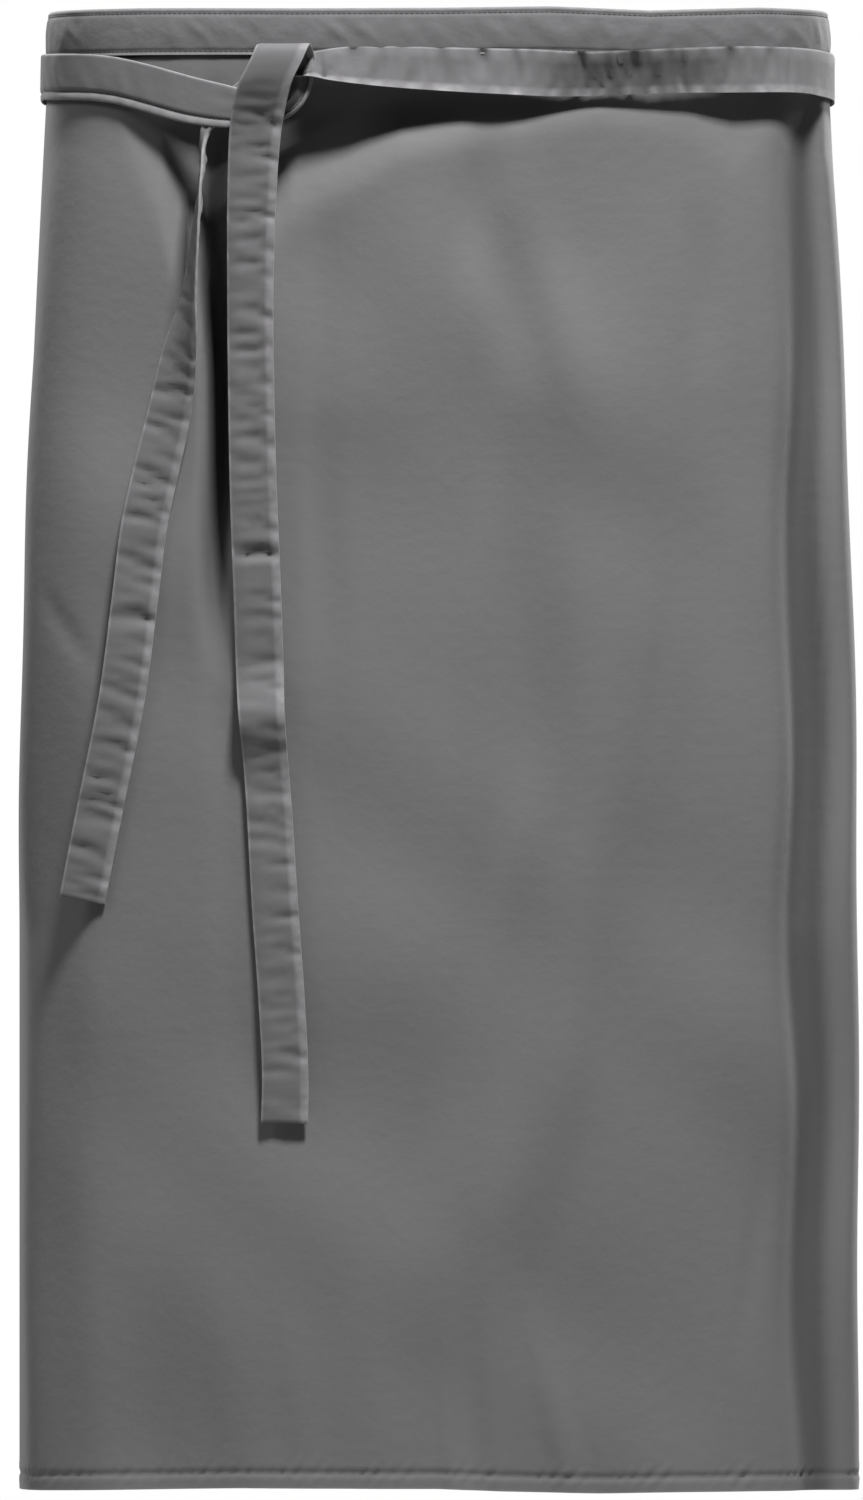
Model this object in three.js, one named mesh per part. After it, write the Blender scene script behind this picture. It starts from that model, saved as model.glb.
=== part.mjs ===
// Waist apron shown as worn: a skirt panel hung from a waistband, held by two ties
// that cross behind the back and meet in a half knot in front.
// Millimetres, +Z up, the front faces -Y. The origin is the centre of the waist opening
// at half the height of the waistband.
import * as THREE from 'three';

// Driving dimensions of the cut cloth
const APRON_LENGTH = 800;
const CLOTH_WALL = 1;
const SEWN_GAP = 0.3;
const BAND_HEIGHT = 25;
const BAND_WALL = 1;
const HEM_HEIGHT = 10;
const HEM_WALL = 1;
const TIE_WIDTH = 25;
const TIE_WALL = 1.6;
const TIE_HEM_LENGTH = 12;
const TIE_HEM_WALL = 2.4;
const TIE_LAP = 25;
const TIE_CLEARANCE = 0.7;

// Driving dimensions of the form it hangs on
const WAIST_HALF_WIDTH = 210;
const WAIST_HALF_DEPTH = 105;
const BACK_OPENING = 75;
const HEM_HALF_WIDTH = 227;
const HEM_HALF_DEPTH = 102;
const SECTION_SQUARENESS = 3;
const FLARE_LENGTH = 500;
const FOLD_DEPTH = 6;

// Driving dimensions of the knot and the hanging ends
const KNOT_LEFT_OF_CENTRE = 82;
const KNOT_DROP = 36;
const KNOT_STAND_OFF = 12.5;
const LONG_END_LENGTH = 565;
const SHORT_END_LENGTH = 445;

// Fineness of the faceted surfaces
const PANEL_COLUMNS = 76;
const SECTION_SAMPLES = 720;
const TIE_STEP = 9;
const TIE_LEAST_STEPS = 3;

// Colours of the dyed twill
const PANEL_COLOUR = 0x6a696a;
const BAND_COLOUR = 0x706f70;
const TIE_COLOUR = 0x737273;
const CLOTH_ROUGHNESS = 0.85;

// Heights of the panel's rows of facets, as shares of the apron's length
const PANEL_ROWS = [0.035, 0.08, 0.13, 0.18, 0.24, 0.31, 0.38, 0.45, 0.52, 0.59, 0.66, 0.73, 0.8, 0.87, 0.94];

// Main folds. start and end are shares of the apron's length below its top edge; the three across
// values are shares of the half width seen from the front, at the start, the middle and the end;
// spread is the fold's half width as a share of the waist's half width; height is a share of
// FOLD_DEPTH, outwards if positive
const FOLDS = [
  { start: 0.035, end: 0.27, across: [-0.34, -0.34, -0.33], spread: 0.3, height: -0.8 },
  { start: 0.06, end: 1.2, across: [0.93, 0.925, 0.94], spread: 0.12, height: -1 },
  { start: 0.08, end: 1.2, across: [0.8, 0.82, 0.83], spread: 0.2, height: 0.45 },
  { start: 0.16, end: 0.92, across: [0.36, 0.38, -0.05], spread: 0.26, height: 0.75 },
  { start: 0.16, end: 1.2, across: [0.13, 0.2, 0.1], spread: 0.24, height: -0.55 },
  { start: 0.3, end: 1.2, across: [0.6, 0.57, 0.55], spread: 0.18, height: -0.35 },
  { start: 0.7, end: 1.3, across: [-0.28, -0.25, -0.2], spread: 0.28, height: 0.45 },
  { start: 0.68, end: 1.3, across: [-0.62, -0.6, -0.6], spread: 0.34, height: -0.5 },
  { start: 0.2, end: 1.3, across: [-0.96, -0.95, -0.93], spread: 0.14, height: -0.35 },
];

// Ties round the waist. around is a share of the half girth from the centre front, towards the right
// seen from the front, and runs on past the centre back; below is in band heights under the top edge;
// layer counts tie layers out from the cloth
const LONG_END_ROUND_WAIST = [
  { around: 0.94, below: 0.54, layer: 0.6 },
  { around: 0.955, below: 0.66, layer: 1.1 },
  { around: 1.0, below: 1.16, layer: 1.2 },
  { around: 1.045, below: 1.62, layer: 1.1 },
  { around: 1.08, below: 1.86, layer: 0.3 },
  { around: 1.18, below: 1.82, layer: 0 },
  { around: 1.34, below: 1.58, layer: 0 },
  { around: 1.5, below: 1.42, layer: 0 },
  { around: 1.58, below: 1.42, layer: 0 },
  { around: 1.67, below: 1.52, layer: 0 },
];
const SHORT_END_ROUND_WAIST = [
  { around: -1.0, below: 1.16, layer: 0 },
  { around: -1.08, below: 1.92, layer: 0 },
  { around: -1.18, below: 1.86, layer: 0 },
  { around: -1.34, below: 1.6, layer: 0 },
  { around: -1.5, below: 1.44, layer: 0 },
  { around: -1.58, below: 1.36, layer: 0 },
  { around: -1.66, below: 1.3, layer: 0.9 },
  { around: -1.76, below: 1.34, layer: 1.8 },
  { around: -1.86, below: 1.42, layer: 0.3 },
  { around: -1.92, below: 1.38, layer: 0.5 },
];

// The half knot. right and below are in tie widths from the knot's centre; layer counts tie layers
// out from the cloth, and lift is how much of the slack knot's stand-off comes on top; width is a
// share of the tie's width where it is gathered; lean turns the width from down (90) to across (0),
// in degrees; square is 1 where the width is square to the path and 0 where it is folded over aslant
const LONG_END_KNOT = [
  { right: -1.9, below: 0.56, layer: 1, lift: 0.3, width: 1, lean: 90, square: 1 },
  { right: -1.0, below: 0.72, layer: 1.1, lift: 0.75, width: 0.85, lean: 90, square: 1 },
  { right: -0.5, below: 0.79, layer: 0.65, lift: 0.95, width: 0.54, lean: 90, square: 1 },
  { right: -0.1, below: 0.74, layer: 0.05, lift: 1, width: 0.48, lean: 84, square: 1 },
  { right: 0.2, below: 0.5, layer: 0, lift: 1, width: 0.48, lean: 42, square: 1 },
  { right: 0.28, below: 0.16, layer: 0, lift: 1, width: 0.62, lean: 5, square: 1 },
  { right: 0.22, below: -0.15, layer: 0, lift: 1, width: 0.9, lean: 0, square: 0.4 },
  { right: 0.1, below: -0.42, layer: 0.1, lift: 1, width: 1.08, lean: 0, square: 0 },
  { right: 0.04, below: -0.58, layer: 0.4, lift: 1, width: 1.12, lean: 0, square: 0 },
  { right: 0.01, below: -0.65, layer: 1.1, lift: 1, width: 1.14, lean: 0, square: 0 },
  { right: -0.02, below: -0.58, layer: 1.8, lift: 1, width: 1.14, lean: 0, square: 0 },
  { right: -0.08, below: -0.42, layer: 2.1, lift: 1, width: 1.14, lean: 0, square: 0 },
  { right: -0.19, below: -0.18, layer: 2.3, lift: 1, width: 1.14, lean: 0, square: 0 },
  { right: -0.34, below: 0.12, layer: 2.4, lift: 1, width: 1.14, lean: 0, square: 0 },
  { right: -0.47, below: 0.54, layer: 2.7, lift: 1, width: 1.14, lean: 0, square: 0.3 },
  { right: -0.59, below: 1.19, layer: 3.2, lift: 0.95, width: 1.12, lean: 0, square: 1 },
];
const SHORT_END_KNOT = [
  { right: 3.9, below: -0.1, layer: 0.2, lift: 0.34, width: 0.95, lean: 90, square: 1 },
  { right: 2.2, below: -0.18, layer: 0.7, lift: 0.6, width: 0.8, lean: 90, square: 1 },
  { right: 1.1, below: -0.22, layer: 1.1, lift: 0.95, width: 0.62, lean: 90, square: 1 },
  { right: 0.3, below: -0.2, layer: 1.15, lift: 1, width: 0.5, lean: 90, square: 1 },
  { right: -0.3, below: -0.04, layer: 0.85, lift: 1, width: 0.42, lean: 82, square: 1 },
  { right: -0.86, below: 0.3, layer: 0, lift: 0.75, width: 0.42, lean: 55, square: 1 },
  { right: -1.4, below: 0.8, layer: 0, lift: 0.45, width: 0.44, lean: 36, square: 1 },
  { right: -1.68, below: 1.2, layer: 0.1, lift: 0.35, width: 0.46, lean: 18, square: 1 },
];

// The hanging ends. down is a share of the end's length below the knot; right is in tie widths from
// the knot's centre; out is the stand-off from the panel in tie widths; roll lifts the right-hand
// edge away from the panel, in degrees, or the left-hand one if negative
const LONG_END_HANG = [
  { down: 0.119, right: -0.68, out: 0.78, roll: 0, width: 1.06 },
  { down: 0.214, right: -0.74, out: 0.52, roll: 0, width: 1 },
  { down: 0.3, right: -0.73, out: 0.34, roll: 0, width: 1 },
  { down: 0.4, right: -0.71, out: 0.24, roll: 0, width: 1.02 },
  { down: 0.5, right: -0.66, out: 0.18, roll: 0, width: 1.03 },
  { down: 0.586, right: -0.6, out: 0.24, roll: 0, width: 1.03 },
  { down: 0.634, right: -0.43, out: 0.26, roll: 0, width: 1 },
  { down: 0.7, right: -0.35, out: 0.2, roll: 0, width: 1 },
  { down: 0.79, right: -0.24, out: 0.18, roll: 0, width: 1 },
  { down: 0.88, right: -0.08, out: 0.16, roll: 0, width: 1 },
  { down: 0.955, right: 0.0, out: 0.16, roll: 0, width: 1 },
  { down: 1.0, right: -0.02, out: 0.16, roll: 0, width: 1.02 },
];
const SHORT_END_HANG = [
  { down: 0.084, right: -1.77, out: 0.3, roll: 46, width: 0.56 },
  { down: 0.112, right: -1.77, out: 0.4, roll: 54, width: 0.76 },
  { down: 0.151, right: -1.88, out: 0.46, roll: 44, width: 0.94 },
  { down: 0.212, right: -1.96, out: 0.42, roll: 36, width: 1 },
  { down: 0.272, right: -2.04, out: 0.36, roll: 29, width: 1 },
  { down: 0.324, right: -2.19, out: 0.3, roll: 21, width: 1 },
  { down: 0.402, right: -2.42, out: 0.2, roll: 6, width: 1 },
  { down: 0.479, right: -2.72, out: 0.22, roll: -8, width: 1 },
  { down: 0.548, right: -2.96, out: 0.3, roll: -20, width: 1 },
  { down: 0.635, right: -3.14, out: 0.32, roll: -24, width: 1 },
  { down: 0.756, right: -3.4, out: 0.35, roll: -28, width: 1 },
  { down: 0.877, right: -3.78, out: 0.38, roll: -33, width: 1 },
  { down: 0.95, right: -4.0, out: 0.4, roll: -36, width: 1 },
  { down: 1.0, right: -4.14, out: 0.41, roll: -38, width: 1 },
];

// Stand-offs that follow from the sizes above
const TOP_EDGE_HEIGHT = BAND_HEIGHT / 2;
const PANEL_TOP_DROP = BAND_WALL + SEWN_GAP;
const BAND_OUTSIDE = CLOTH_WALL + SEWN_GAP + BAND_WALL;
const FIRST_TIE_LAYER = BAND_OUTSIDE - CLOTH_WALL + TIE_CLEARANCE + TIE_WALL / 2;
const TIE_LAYER_PITCH = TIE_WALL + TIE_CLEARANCE;

// Section of the worn form at one depth below the top edge: points and running length from the
// centre front round the right-hand side, all the way back to the front
function makeSection(halfWidth, halfDepth) {
  const power = 2 / SECTION_SQUARENESS;
  const points = [];
  const lengths = [0];
  for (let sample = 0; sample <= SECTION_SAMPLES; sample += 1) {
    const turn = (2 * Math.PI * sample) / SECTION_SAMPLES;
    const across = Math.sin(turn);
    const back = -Math.cos(turn);
    points.push(new THREE.Vector2(
      halfWidth * Math.sign(across) * Math.abs(across) ** power,
      halfDepth * Math.sign(back) * Math.abs(back) ** power,
    ));
    if (sample > 0) {
      lengths.push(lengths[sample - 1] + points[sample].distanceTo(points[sample - 1]));
    }
  }
  return { points, lengths, girth: lengths[SECTION_SAMPLES] };
}

// Point on a section at a running length from the centre front, by bisection of its table
function pointOnSection(section, length) {
  const wrapped = ((length % section.girth) + section.girth) % section.girth;
  let low = 0;
  let high = SECTION_SAMPLES;
  while (high - low > 1) {
    const middle = (low + high) >> 1;
    if (section.lengths[middle] > wrapped) {
      high = middle;
    } else {
      low = middle;
    }
  }
  const share = (wrapped - section.lengths[low]) / (section.lengths[high] - section.lengths[low]);
  return section.points[low].clone().lerp(section.points[high], share);
}

const WAIST_SECTION = makeSection(WAIST_HALF_WIDTH, WAIST_HALF_DEPTH);
const HEM_SECTION = makeSection(HEM_HALF_WIDTH, HEM_HALF_DEPTH);

// The panel is cut to go round the waist up to the opening at the back
const CUT_WIDTH = WAIST_SECTION.girth - BACK_OPENING;
const NORMAL_REACH = WAIST_SECTION.girth / SECTION_SAMPLES;

// Running length of the point seen at a share of the half width, on the front half of the waist
function lengthAcross(share) {
  const quarter = SECTION_SAMPLES / 4;
  const target = Math.abs(share) * WAIST_HALF_WIDTH;
  let sample = 1;
  while (sample < quarter && WAIST_SECTION.points[sample].x < target) {
    sample += 1;
  }
  const before = WAIST_SECTION.points[sample - 1].x;
  const part = (target - before) / (WAIST_SECTION.points[sample].x - before);
  const { lengths } = WAIST_SECTION;
  return Math.sign(share) * (lengths[sample - 1] + part * (lengths[sample] - lengths[sample - 1]));
}

// Running length brought back to within half a girth of the centre front
function unwound(length) {
  return length - WAIST_SECTION.girth * Math.round(length / WAIST_SECTION.girth);
}

// Running length along the hem's section: the same on the cloth, and stretched over the open back
function lengthAtHem(length) {
  const halfCut = CUT_WIDTH / 2;
  const beyond = Math.max(Math.abs(length) - halfCut, 0);
  const stretch = (HEM_SECTION.girth / 2 - halfCut) / (WAIST_SECTION.girth / 2 - halfCut);
  return Math.sign(length) * (Math.min(Math.abs(length), halfCut) + beyond * stretch);
}

// Point of the plain form, without folds, at a running length and a drop below the top edge; it
// widens from the waist's section to the hem's over the flare and hangs straight below
function formPoint(length, drop) {
  const share = Math.sin((THREE.MathUtils.clamp(drop / FLARE_LENGTH, 0, 1) * Math.PI) / 2);
  const inner = unwound(length);
  const waist = pointOnSection(WAIST_SECTION, inner);
  const plan = waist.lerp(pointOnSection(HEM_SECTION, lengthAtHem(inner)), share);
  return new THREE.Vector3(plan.x, plan.y, TOP_EDGE_HEIGHT - drop);
}

// Outward direction of the plain form, level with the ground
function formNormal(length, drop) {
  const ahead = formPoint(length + NORMAL_REACH, drop);
  const behind = formPoint(length - NORMAL_REACH, drop);
  const along = ahead.sub(behind);
  return new THREE.Vector3(along.y, -along.x, 0).normalize();
}

const FOLD_LINES = FOLDS.map((fold) => ({
  ...fold,
  lengths: fold.across.map(lengthAcross),
  reach: fold.spread * WAIST_HALF_WIDTH,
}));

// Outward offset of the folds at a running length and a drop
function foldOffset(length, drop) {
  const share = drop / APRON_LENGTH;
  let offset = 0;
  for (const fold of FOLD_LINES) {
    const progress = (share - fold.start) / (fold.end - fold.start);
    if (progress > 0 && progress < 1) {
      const [first, middle, last] = fold.lengths;
      const turn = 4 * middle - 3 * first - last;
      const centre = first + turn * progress + (last - first - turn) * progress * progress;
      const away = Math.abs(length - centre) / fold.reach;
      if (away < 1) {
        const across = Math.cos((away * Math.PI) / 2) ** 2;
        offset += FOLD_DEPTH * fold.height * across * Math.sin(progress * Math.PI) ** 0.7;
      }
    }
  }
  return offset;
}

// Point a distance outside the panel's outer face; negative distances lie inside
function clothPoint(length, drop, outside) {
  const lift = foldOffset(length, drop) + outside;
  return formPoint(length, drop).addScaledVector(formNormal(length, drop), lift);
}

// Closed solid through a list of sections, each with as many points on its outer side as on its
// inner side, joined along their edges and capped at both ends
function loftGeometry(sections) {
  const sidePoints = sections[0].outer.length;
  const ringPoints = 2 * sidePoints;
  const positions = [];
  for (const { outer, inner } of sections) {
    for (const point of [...outer, ...inner.slice().reverse()]) {
      positions.push(point.x, point.y, point.z);
    }
  }
  const faces = [];
  for (let section = 0; section + 1 < sections.length; section += 1) {
    for (let corner = 0; corner < ringPoints; corner += 1) {
      const next = (corner + 1) % ringPoints;
      const here = section * ringPoints;
      const there = here + ringPoints;
      faces.push(here + corner, here + next, there + corner);
      faces.push(there + corner, here + next, there + next);
    }
  }
  const lastRing = (sections.length - 1) * ringPoints;
  for (let corner = 0; corner + 1 < sidePoints; corner += 1) {
    const across = ringPoints - 1 - corner;
    faces.push(corner, across, corner + 1);
    faces.push(corner + 1, across, across - 1);
    faces.push(lastRing + corner, lastRing + corner + 1, lastRing + across);
    faces.push(lastRing + corner + 1, lastRing + across - 1, lastRing + across);
  }
  const geometry = new THREE.BufferGeometry();
  geometry.setAttribute('position', new THREE.Float32BufferAttribute(positions, 3));
  geometry.setIndex(faces);
  return pointFacesOut(geometry);
}

// Turns all faces of a closed solid round if its volume comes out negative
function pointFacesOut(geometry) {
  const position = geometry.getAttribute('position');
  const index = geometry.getIndex();
  const corners = [new THREE.Vector3(), new THREE.Vector3(), new THREE.Vector3()];
  let volume = 0;
  for (let face = 0; face < index.count; face += 3) {
    corners.forEach((corner, place) => corner.fromBufferAttribute(position, index.getX(face + place)));
    volume += corners[0].dot(corners[1].clone().cross(corners[2])) / 6;
  }
  if (volume < 0) {
    for (let face = 0; face < index.count; face += 3) {
      const second = index.getX(face + 1);
      index.setX(face + 1, index.getX(face + 2));
      index.setX(face + 2, second);
    }
  }
  geometry.computeVertexNormals();
  return geometry;
}

function clothMesh(name, geometry, color) {
  const material = new THREE.MeshStandardMaterial({ color, roughness: CLOTH_ROUGHNESS, metalness: 0 });
  const mesh = new THREE.Mesh(geometry, material);
  mesh.name = name;
  return mesh;
}

// Running lengths of the columns of facets from the left back edge to the right one
function columnLengths(from, to, columns) {
  const lengths = [];
  for (let column = 0; column <= columns; column += 1) {
    lengths.push(from + ((to - from) * column) / columns);
  }
  return lengths;
}

const PANEL_LENGTHS = columnLengths(-CUT_WIDTH / 2, CUT_WIDTH / 2, PANEL_COLUMNS);
const HEM_TOP_DROP = APRON_LENGTH - HEM_HEIGHT;
const ROW_DROPS = PANEL_ROWS.map((share) => share * APRON_LENGTH);

// A wall of cloth between two distances from the panel's outer face, over the given drops
function wallSections(lengths, drops, outerDistance, innerDistance) {
  return lengths.map((length) => ({
    outer: drops.map((drop) => clothPoint(length, drop, outerDistance)),
    inner: drops.map((drop) => clothPoint(length, drop, innerDistance)),
  }));
}

function makeSkirtPanel() {
  const drops = [PANEL_TOP_DROP, ...ROW_DROPS, HEM_TOP_DROP, APRON_LENGTH];
  const sections = wallSections(PANEL_LENGTHS, drops, 0, -CLOTH_WALL);
  return clothMesh('skirt_panel', loftGeometry(sections), PANEL_COLOUR);
}

function makeBottomHem() {
  const outer = -CLOTH_WALL - SEWN_GAP;
  const drops = [HEM_TOP_DROP, APRON_LENGTH];
  const sections = wallSections(PANEL_LENGTHS, drops, outer, outer - HEM_WALL);
  return clothMesh('bottom_hem', loftGeometry(sections), PANEL_COLOUR);
}

function makeSideHem(name, side) {
  const outer = -CLOTH_WALL - SEWN_GAP;
  const edge = (side * CUT_WIDTH) / 2;
  const drops = [BAND_HEIGHT + SEWN_GAP, ...ROW_DROPS.slice(1), HEM_TOP_DROP - SEWN_GAP];
  const lengths = [edge - side * HEM_HEIGHT, edge];
  const sections = wallSections(lengths, drops, outer, outer - HEM_WALL);
  return clothMesh(name, loftGeometry(sections), PANEL_COLOUR);
}

// The waistband is one strip folded down over both faces of the panel's top edge
function makeWaistband() {
  const front = SEWN_GAP;
  const back = -CLOTH_WALL - SEWN_GAP;
  const sections = PANEL_LENGTHS.map((length) => ({
    outer: [
      clothPoint(length, BAND_HEIGHT, front + BAND_WALL),
      clothPoint(length, 0, front + BAND_WALL),
      clothPoint(length, 0, back - BAND_WALL),
      clothPoint(length, BAND_HEIGHT, back - BAND_WALL),
    ],
    inner: [
      clothPoint(length, BAND_HEIGHT, front),
      clothPoint(length, BAND_WALL, front),
      clothPoint(length, BAND_WALL, back),
      clothPoint(length, BAND_HEIGHT, back),
    ],
  }));
  return clothMesh('waistband', loftGeometry(sections), BAND_COLOUR);
}

function layerDistance(layer) {
  return FIRST_TIE_LAYER + layer * TIE_LAYER_PITCH;
}

// Stations of a tie round the waist, from the lap on its end of the band
function waistStations(rows, side) {
  const halfGirth = WAIST_SECTION.girth / 2;
  const bandEnd = (side * CUT_WIDTH) / 2;
  const level = (row) => ({ width: 1, lean: 90, square: 1, roll: 0, ...row });
  const lap = [bandEnd - side * TIE_LAP, bandEnd].map((length) => level({
    length,
    drop: BAND_HEIGHT / 2,
    outside: layerDistance(0),
  }));
  const round = rows.map((row) => level({
    length: row.around * halfGirth,
    drop: row.below * BAND_HEIGHT,
    outside: layerDistance(row.layer),
  }));
  return [...lap, ...round];
}

// Stations through the knot and down the hanging end; turns counts whole girths already passed
function frontStations(knotRows, hangRows, endLength, turns) {
  const base = turns * WAIST_SECTION.girth;
  const across = (right) => base + lengthAcross((right * TIE_WIDTH - KNOT_LEFT_OF_CENTRE) / WAIST_HALF_WIDTH);
  const knot = knotRows.map((row) => ({
    length: across(row.right),
    drop: KNOT_DROP + row.below * TIE_WIDTH,
    outside: layerDistance(row.layer) + row.lift * KNOT_STAND_OFF,
    width: row.width,
    lean: row.lean,
    square: row.square,
    roll: 0,
  }));
  const hang = hangRows.map((row) => ({
    length: across(row.right),
    drop: KNOT_DROP + row.down * endLength,
    outside: row.out * TIE_WIDTH,
    width: row.width,
    lean: 0,
    square: 1,
    roll: row.roll,
  }));
  return [...knot, ...hang];
}

// Where the tie lies at a station: its place, and the directions across it and out of the cloth
function tiePlace(station) {
  const normal = formNormal(station.length, station.drop);
  const across = new THREE.Vector3(-normal.y, normal.x, 0);
  const down = new THREE.Vector3(0, 0, -1);
  const lean = THREE.MathUtils.degToRad(station.lean);
  const place = formPoint(station.length, station.drop).addScaledVector(normal, station.outside);
  const width = across.multiplyScalar(Math.cos(lean)).addScaledVector(down, Math.sin(lean));
  return { place, normal, width };
}

// Stations between the rows, on a smooth curve in running length, drop and stand-off
function smoothStations(rows) {
  const knots = rows.map((row) => new THREE.Vector3(row.length, row.drop, row.outside));
  const curve = new THREE.CatmullRomCurve3(knots, false, 'centripetal');
  const stations = [];
  for (let row = 0; row + 1 < rows.length; row += 1) {
    const apart = knots[row].distanceTo(knots[row + 1]);
    const steps = Math.max(TIE_LEAST_STEPS, Math.ceil(apart / TIE_STEP));
    for (let step = row === 0 ? 0 : 1; step <= steps; step += 1) {
      const share = step / steps;
      const point = curve.getPoint((row + share) / (rows.length - 1));
      const blend = (key) => THREE.MathUtils.lerp(rows[row][key], rows[row + 1][key], share);
      stations.push({
        length: point.x,
        drop: point.y,
        outside: point.z,
        width: blend('width'),
        lean: blend('lean'),
        square: blend('square'),
        roll: blend('roll'),
      });
    }
  }
  return stations;
}

// A flat tie through its stations, with a thicker turned hem at its free end
function tieGeometry(rows) {
  const places = smoothStations(rows).map((station) => ({ ...tiePlace(station), station }));
  const last = places.length - 1;
  const sections = places.map(({ place, normal, width, station }, number) => {
    const before = places[Math.max(number - 1, 0)].place;
    const after = places[Math.min(number + 1, last)].place;
    const along = after.clone().sub(before).normalize();
    const flat = width.clone().addScaledVector(along, -width.dot(along) * station.square).normalize();
    const lift = normal.clone().addScaledVector(along, -normal.dot(along));
    lift.addScaledVector(flat, -lift.dot(flat));
    const roll = THREE.MathUtils.degToRad(station.roll);
    const wide = flat.multiplyScalar(Math.cos(roll));
    if (roll !== 0) {
      wide.addScaledVector(lift.normalize(), Math.sin(roll));
    }
    const thick = wide.clone().cross(along).normalize();
    const toEnd = place.distanceTo(places[last].place);
    const inHem = number > last / 2 && toEnd < TIE_HEM_LENGTH;
    const halfWall = (inHem ? TIE_HEM_WALL : TIE_WALL) / 2;
    const halfWidth = (station.width * TIE_WIDTH) / 2;
    const corner = (across, out) => place.clone()
      .addScaledVector(wide, across * halfWidth)
      .addScaledVector(thick, out * halfWall);
    return { outer: [corner(-1, 1), corner(1, 1)], inner: [corner(-1, -1), corner(1, -1)] };
  });
  return loftGeometry(sections);
}

function makeTieLongEnd() {
  const rows = [
    ...waistStations(LONG_END_ROUND_WAIST, 1),
    ...frontStations(LONG_END_KNOT, LONG_END_HANG, LONG_END_LENGTH, 1),
  ];
  return clothMesh('tie_long_end', tieGeometry(rows), TIE_COLOUR);
}

function makeTieShortEnd() {
  const rows = [
    ...waistStations(SHORT_END_ROUND_WAIST, -1),
    ...frontStations(SHORT_END_KNOT, SHORT_END_HANG, SHORT_END_LENGTH, -1),
  ];
  return clothMesh('tie_short_end', tieGeometry(rows), TIE_COLOUR);
}

const group = new THREE.Group();
group.add(makeSkirtPanel());
group.add(makeBottomHem());
group.add(makeSideHem('side_hem_left', -1));
group.add(makeSideHem('side_hem_right', 1));
group.add(makeWaistband());
group.add(makeTieLongEnd());
group.add(makeTieShortEnd());

export default group;
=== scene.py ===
"""Waist apron in plain grey twill, shown as worn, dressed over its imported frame.

Every length is in metres, +Z is up and the front faces -Y. A point of the cloth is given by its
running length from the centre front, its drop below the top edge and its distance outside the
panel's outer face, as in the frame.
"""

from __future__ import annotations

import logging
import math
from dataclasses import dataclass, field, replace
from enum import Enum
from typing import Sequence

import bpy
import numpy as np
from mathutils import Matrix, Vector


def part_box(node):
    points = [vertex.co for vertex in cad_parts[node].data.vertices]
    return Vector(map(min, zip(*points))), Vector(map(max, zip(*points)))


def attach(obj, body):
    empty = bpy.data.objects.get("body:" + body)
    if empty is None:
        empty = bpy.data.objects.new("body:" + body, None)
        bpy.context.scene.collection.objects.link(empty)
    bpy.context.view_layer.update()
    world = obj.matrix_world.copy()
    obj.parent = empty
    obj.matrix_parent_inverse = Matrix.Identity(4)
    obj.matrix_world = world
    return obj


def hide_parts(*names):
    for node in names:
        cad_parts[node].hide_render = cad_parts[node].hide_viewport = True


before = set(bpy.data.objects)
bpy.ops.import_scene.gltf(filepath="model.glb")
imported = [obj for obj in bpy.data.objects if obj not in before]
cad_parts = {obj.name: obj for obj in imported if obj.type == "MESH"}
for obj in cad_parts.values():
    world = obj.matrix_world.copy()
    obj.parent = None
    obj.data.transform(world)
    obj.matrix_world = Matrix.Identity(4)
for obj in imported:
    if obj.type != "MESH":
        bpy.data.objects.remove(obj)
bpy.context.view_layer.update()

LOG = logging.getLogger("waist_apron")
BODY = "root"
MM = 0.001
TURN = 2 * math.pi
TINY = 1e-12
HEM_HEIGHT = 10.0 * MM
BAND_HEIGHT = 25.0 * MM
TIE_WIDTH = 25.0 * MM

# The photograph's height, and where the object's middle stands in it
PHOTO_HEIGHT_PX = 1500
PHOTO_CENTRE_PX = 438.0
PX_PER_METRE = 1857.5

Array = np.ndarray
Rows = tuple[tuple[float, ...], ...]
Socket = bpy.types.NodeSocket


class Slot(Enum):
    """Names of the record's material slots for the pieces."""

    SKIRT = "skirt_twill"
    BAND = "band_twill"
    TIE = "tie_twill"


class Side(Enum):
    """Sides of the apron as seen from the front."""

    LEFT = -1
    RIGHT = 1


def smoothstep(low: float, high: float, value: Array) -> Array:
    """Rises smoothly from 0 at low to 1 at high."""
    share = np.clip((value - low) / (high - low), 0.0, 1.0)
    return share * share * (3 - 2 * share)


def unit(vectors: Array) -> Array:
    """Brings each row to length 1."""
    return vectors / np.maximum(np.linalg.norm(vectors, axis=-1, keepdims=True), TINY)


def dot(first: Array, second: Array) -> Array:
    """Dot product of matching rows, kept as a column."""
    return np.sum(first * second, axis=-1, keepdims=True)


def softened(values: Array, window: int) -> Array:
    """Averages rows over a sliding window whose ends repeat the first and last rows.

    Args:
        values: Rows to soften.
        window: Odd number of rows in the window.

    Returns:
        The softened rows.
    """
    half = window // 2
    padded = np.concatenate([np.repeat(values[:1], half, 0), values, np.repeat(values[-1:], half, 0)])
    total = np.cumsum(np.concatenate([np.zeros_like(padded[:1]), padded]), axis=0)
    return (total[window:] - total[:-window]) / window


def rows_at(spots: Array, run: Array, rows: Array) -> Array:
    """Rows interpolated at distances along a run."""
    return np.stack([np.interp(spots, run, column) for column in rows.T], axis=1)


def run_along(points: Array) -> Array:
    """Distances along a path at each of its points."""
    steps = np.linalg.norm(np.diff(points, axis=0), axis=1)
    return np.concatenate([[0.0], np.cumsum(steps)])


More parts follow.
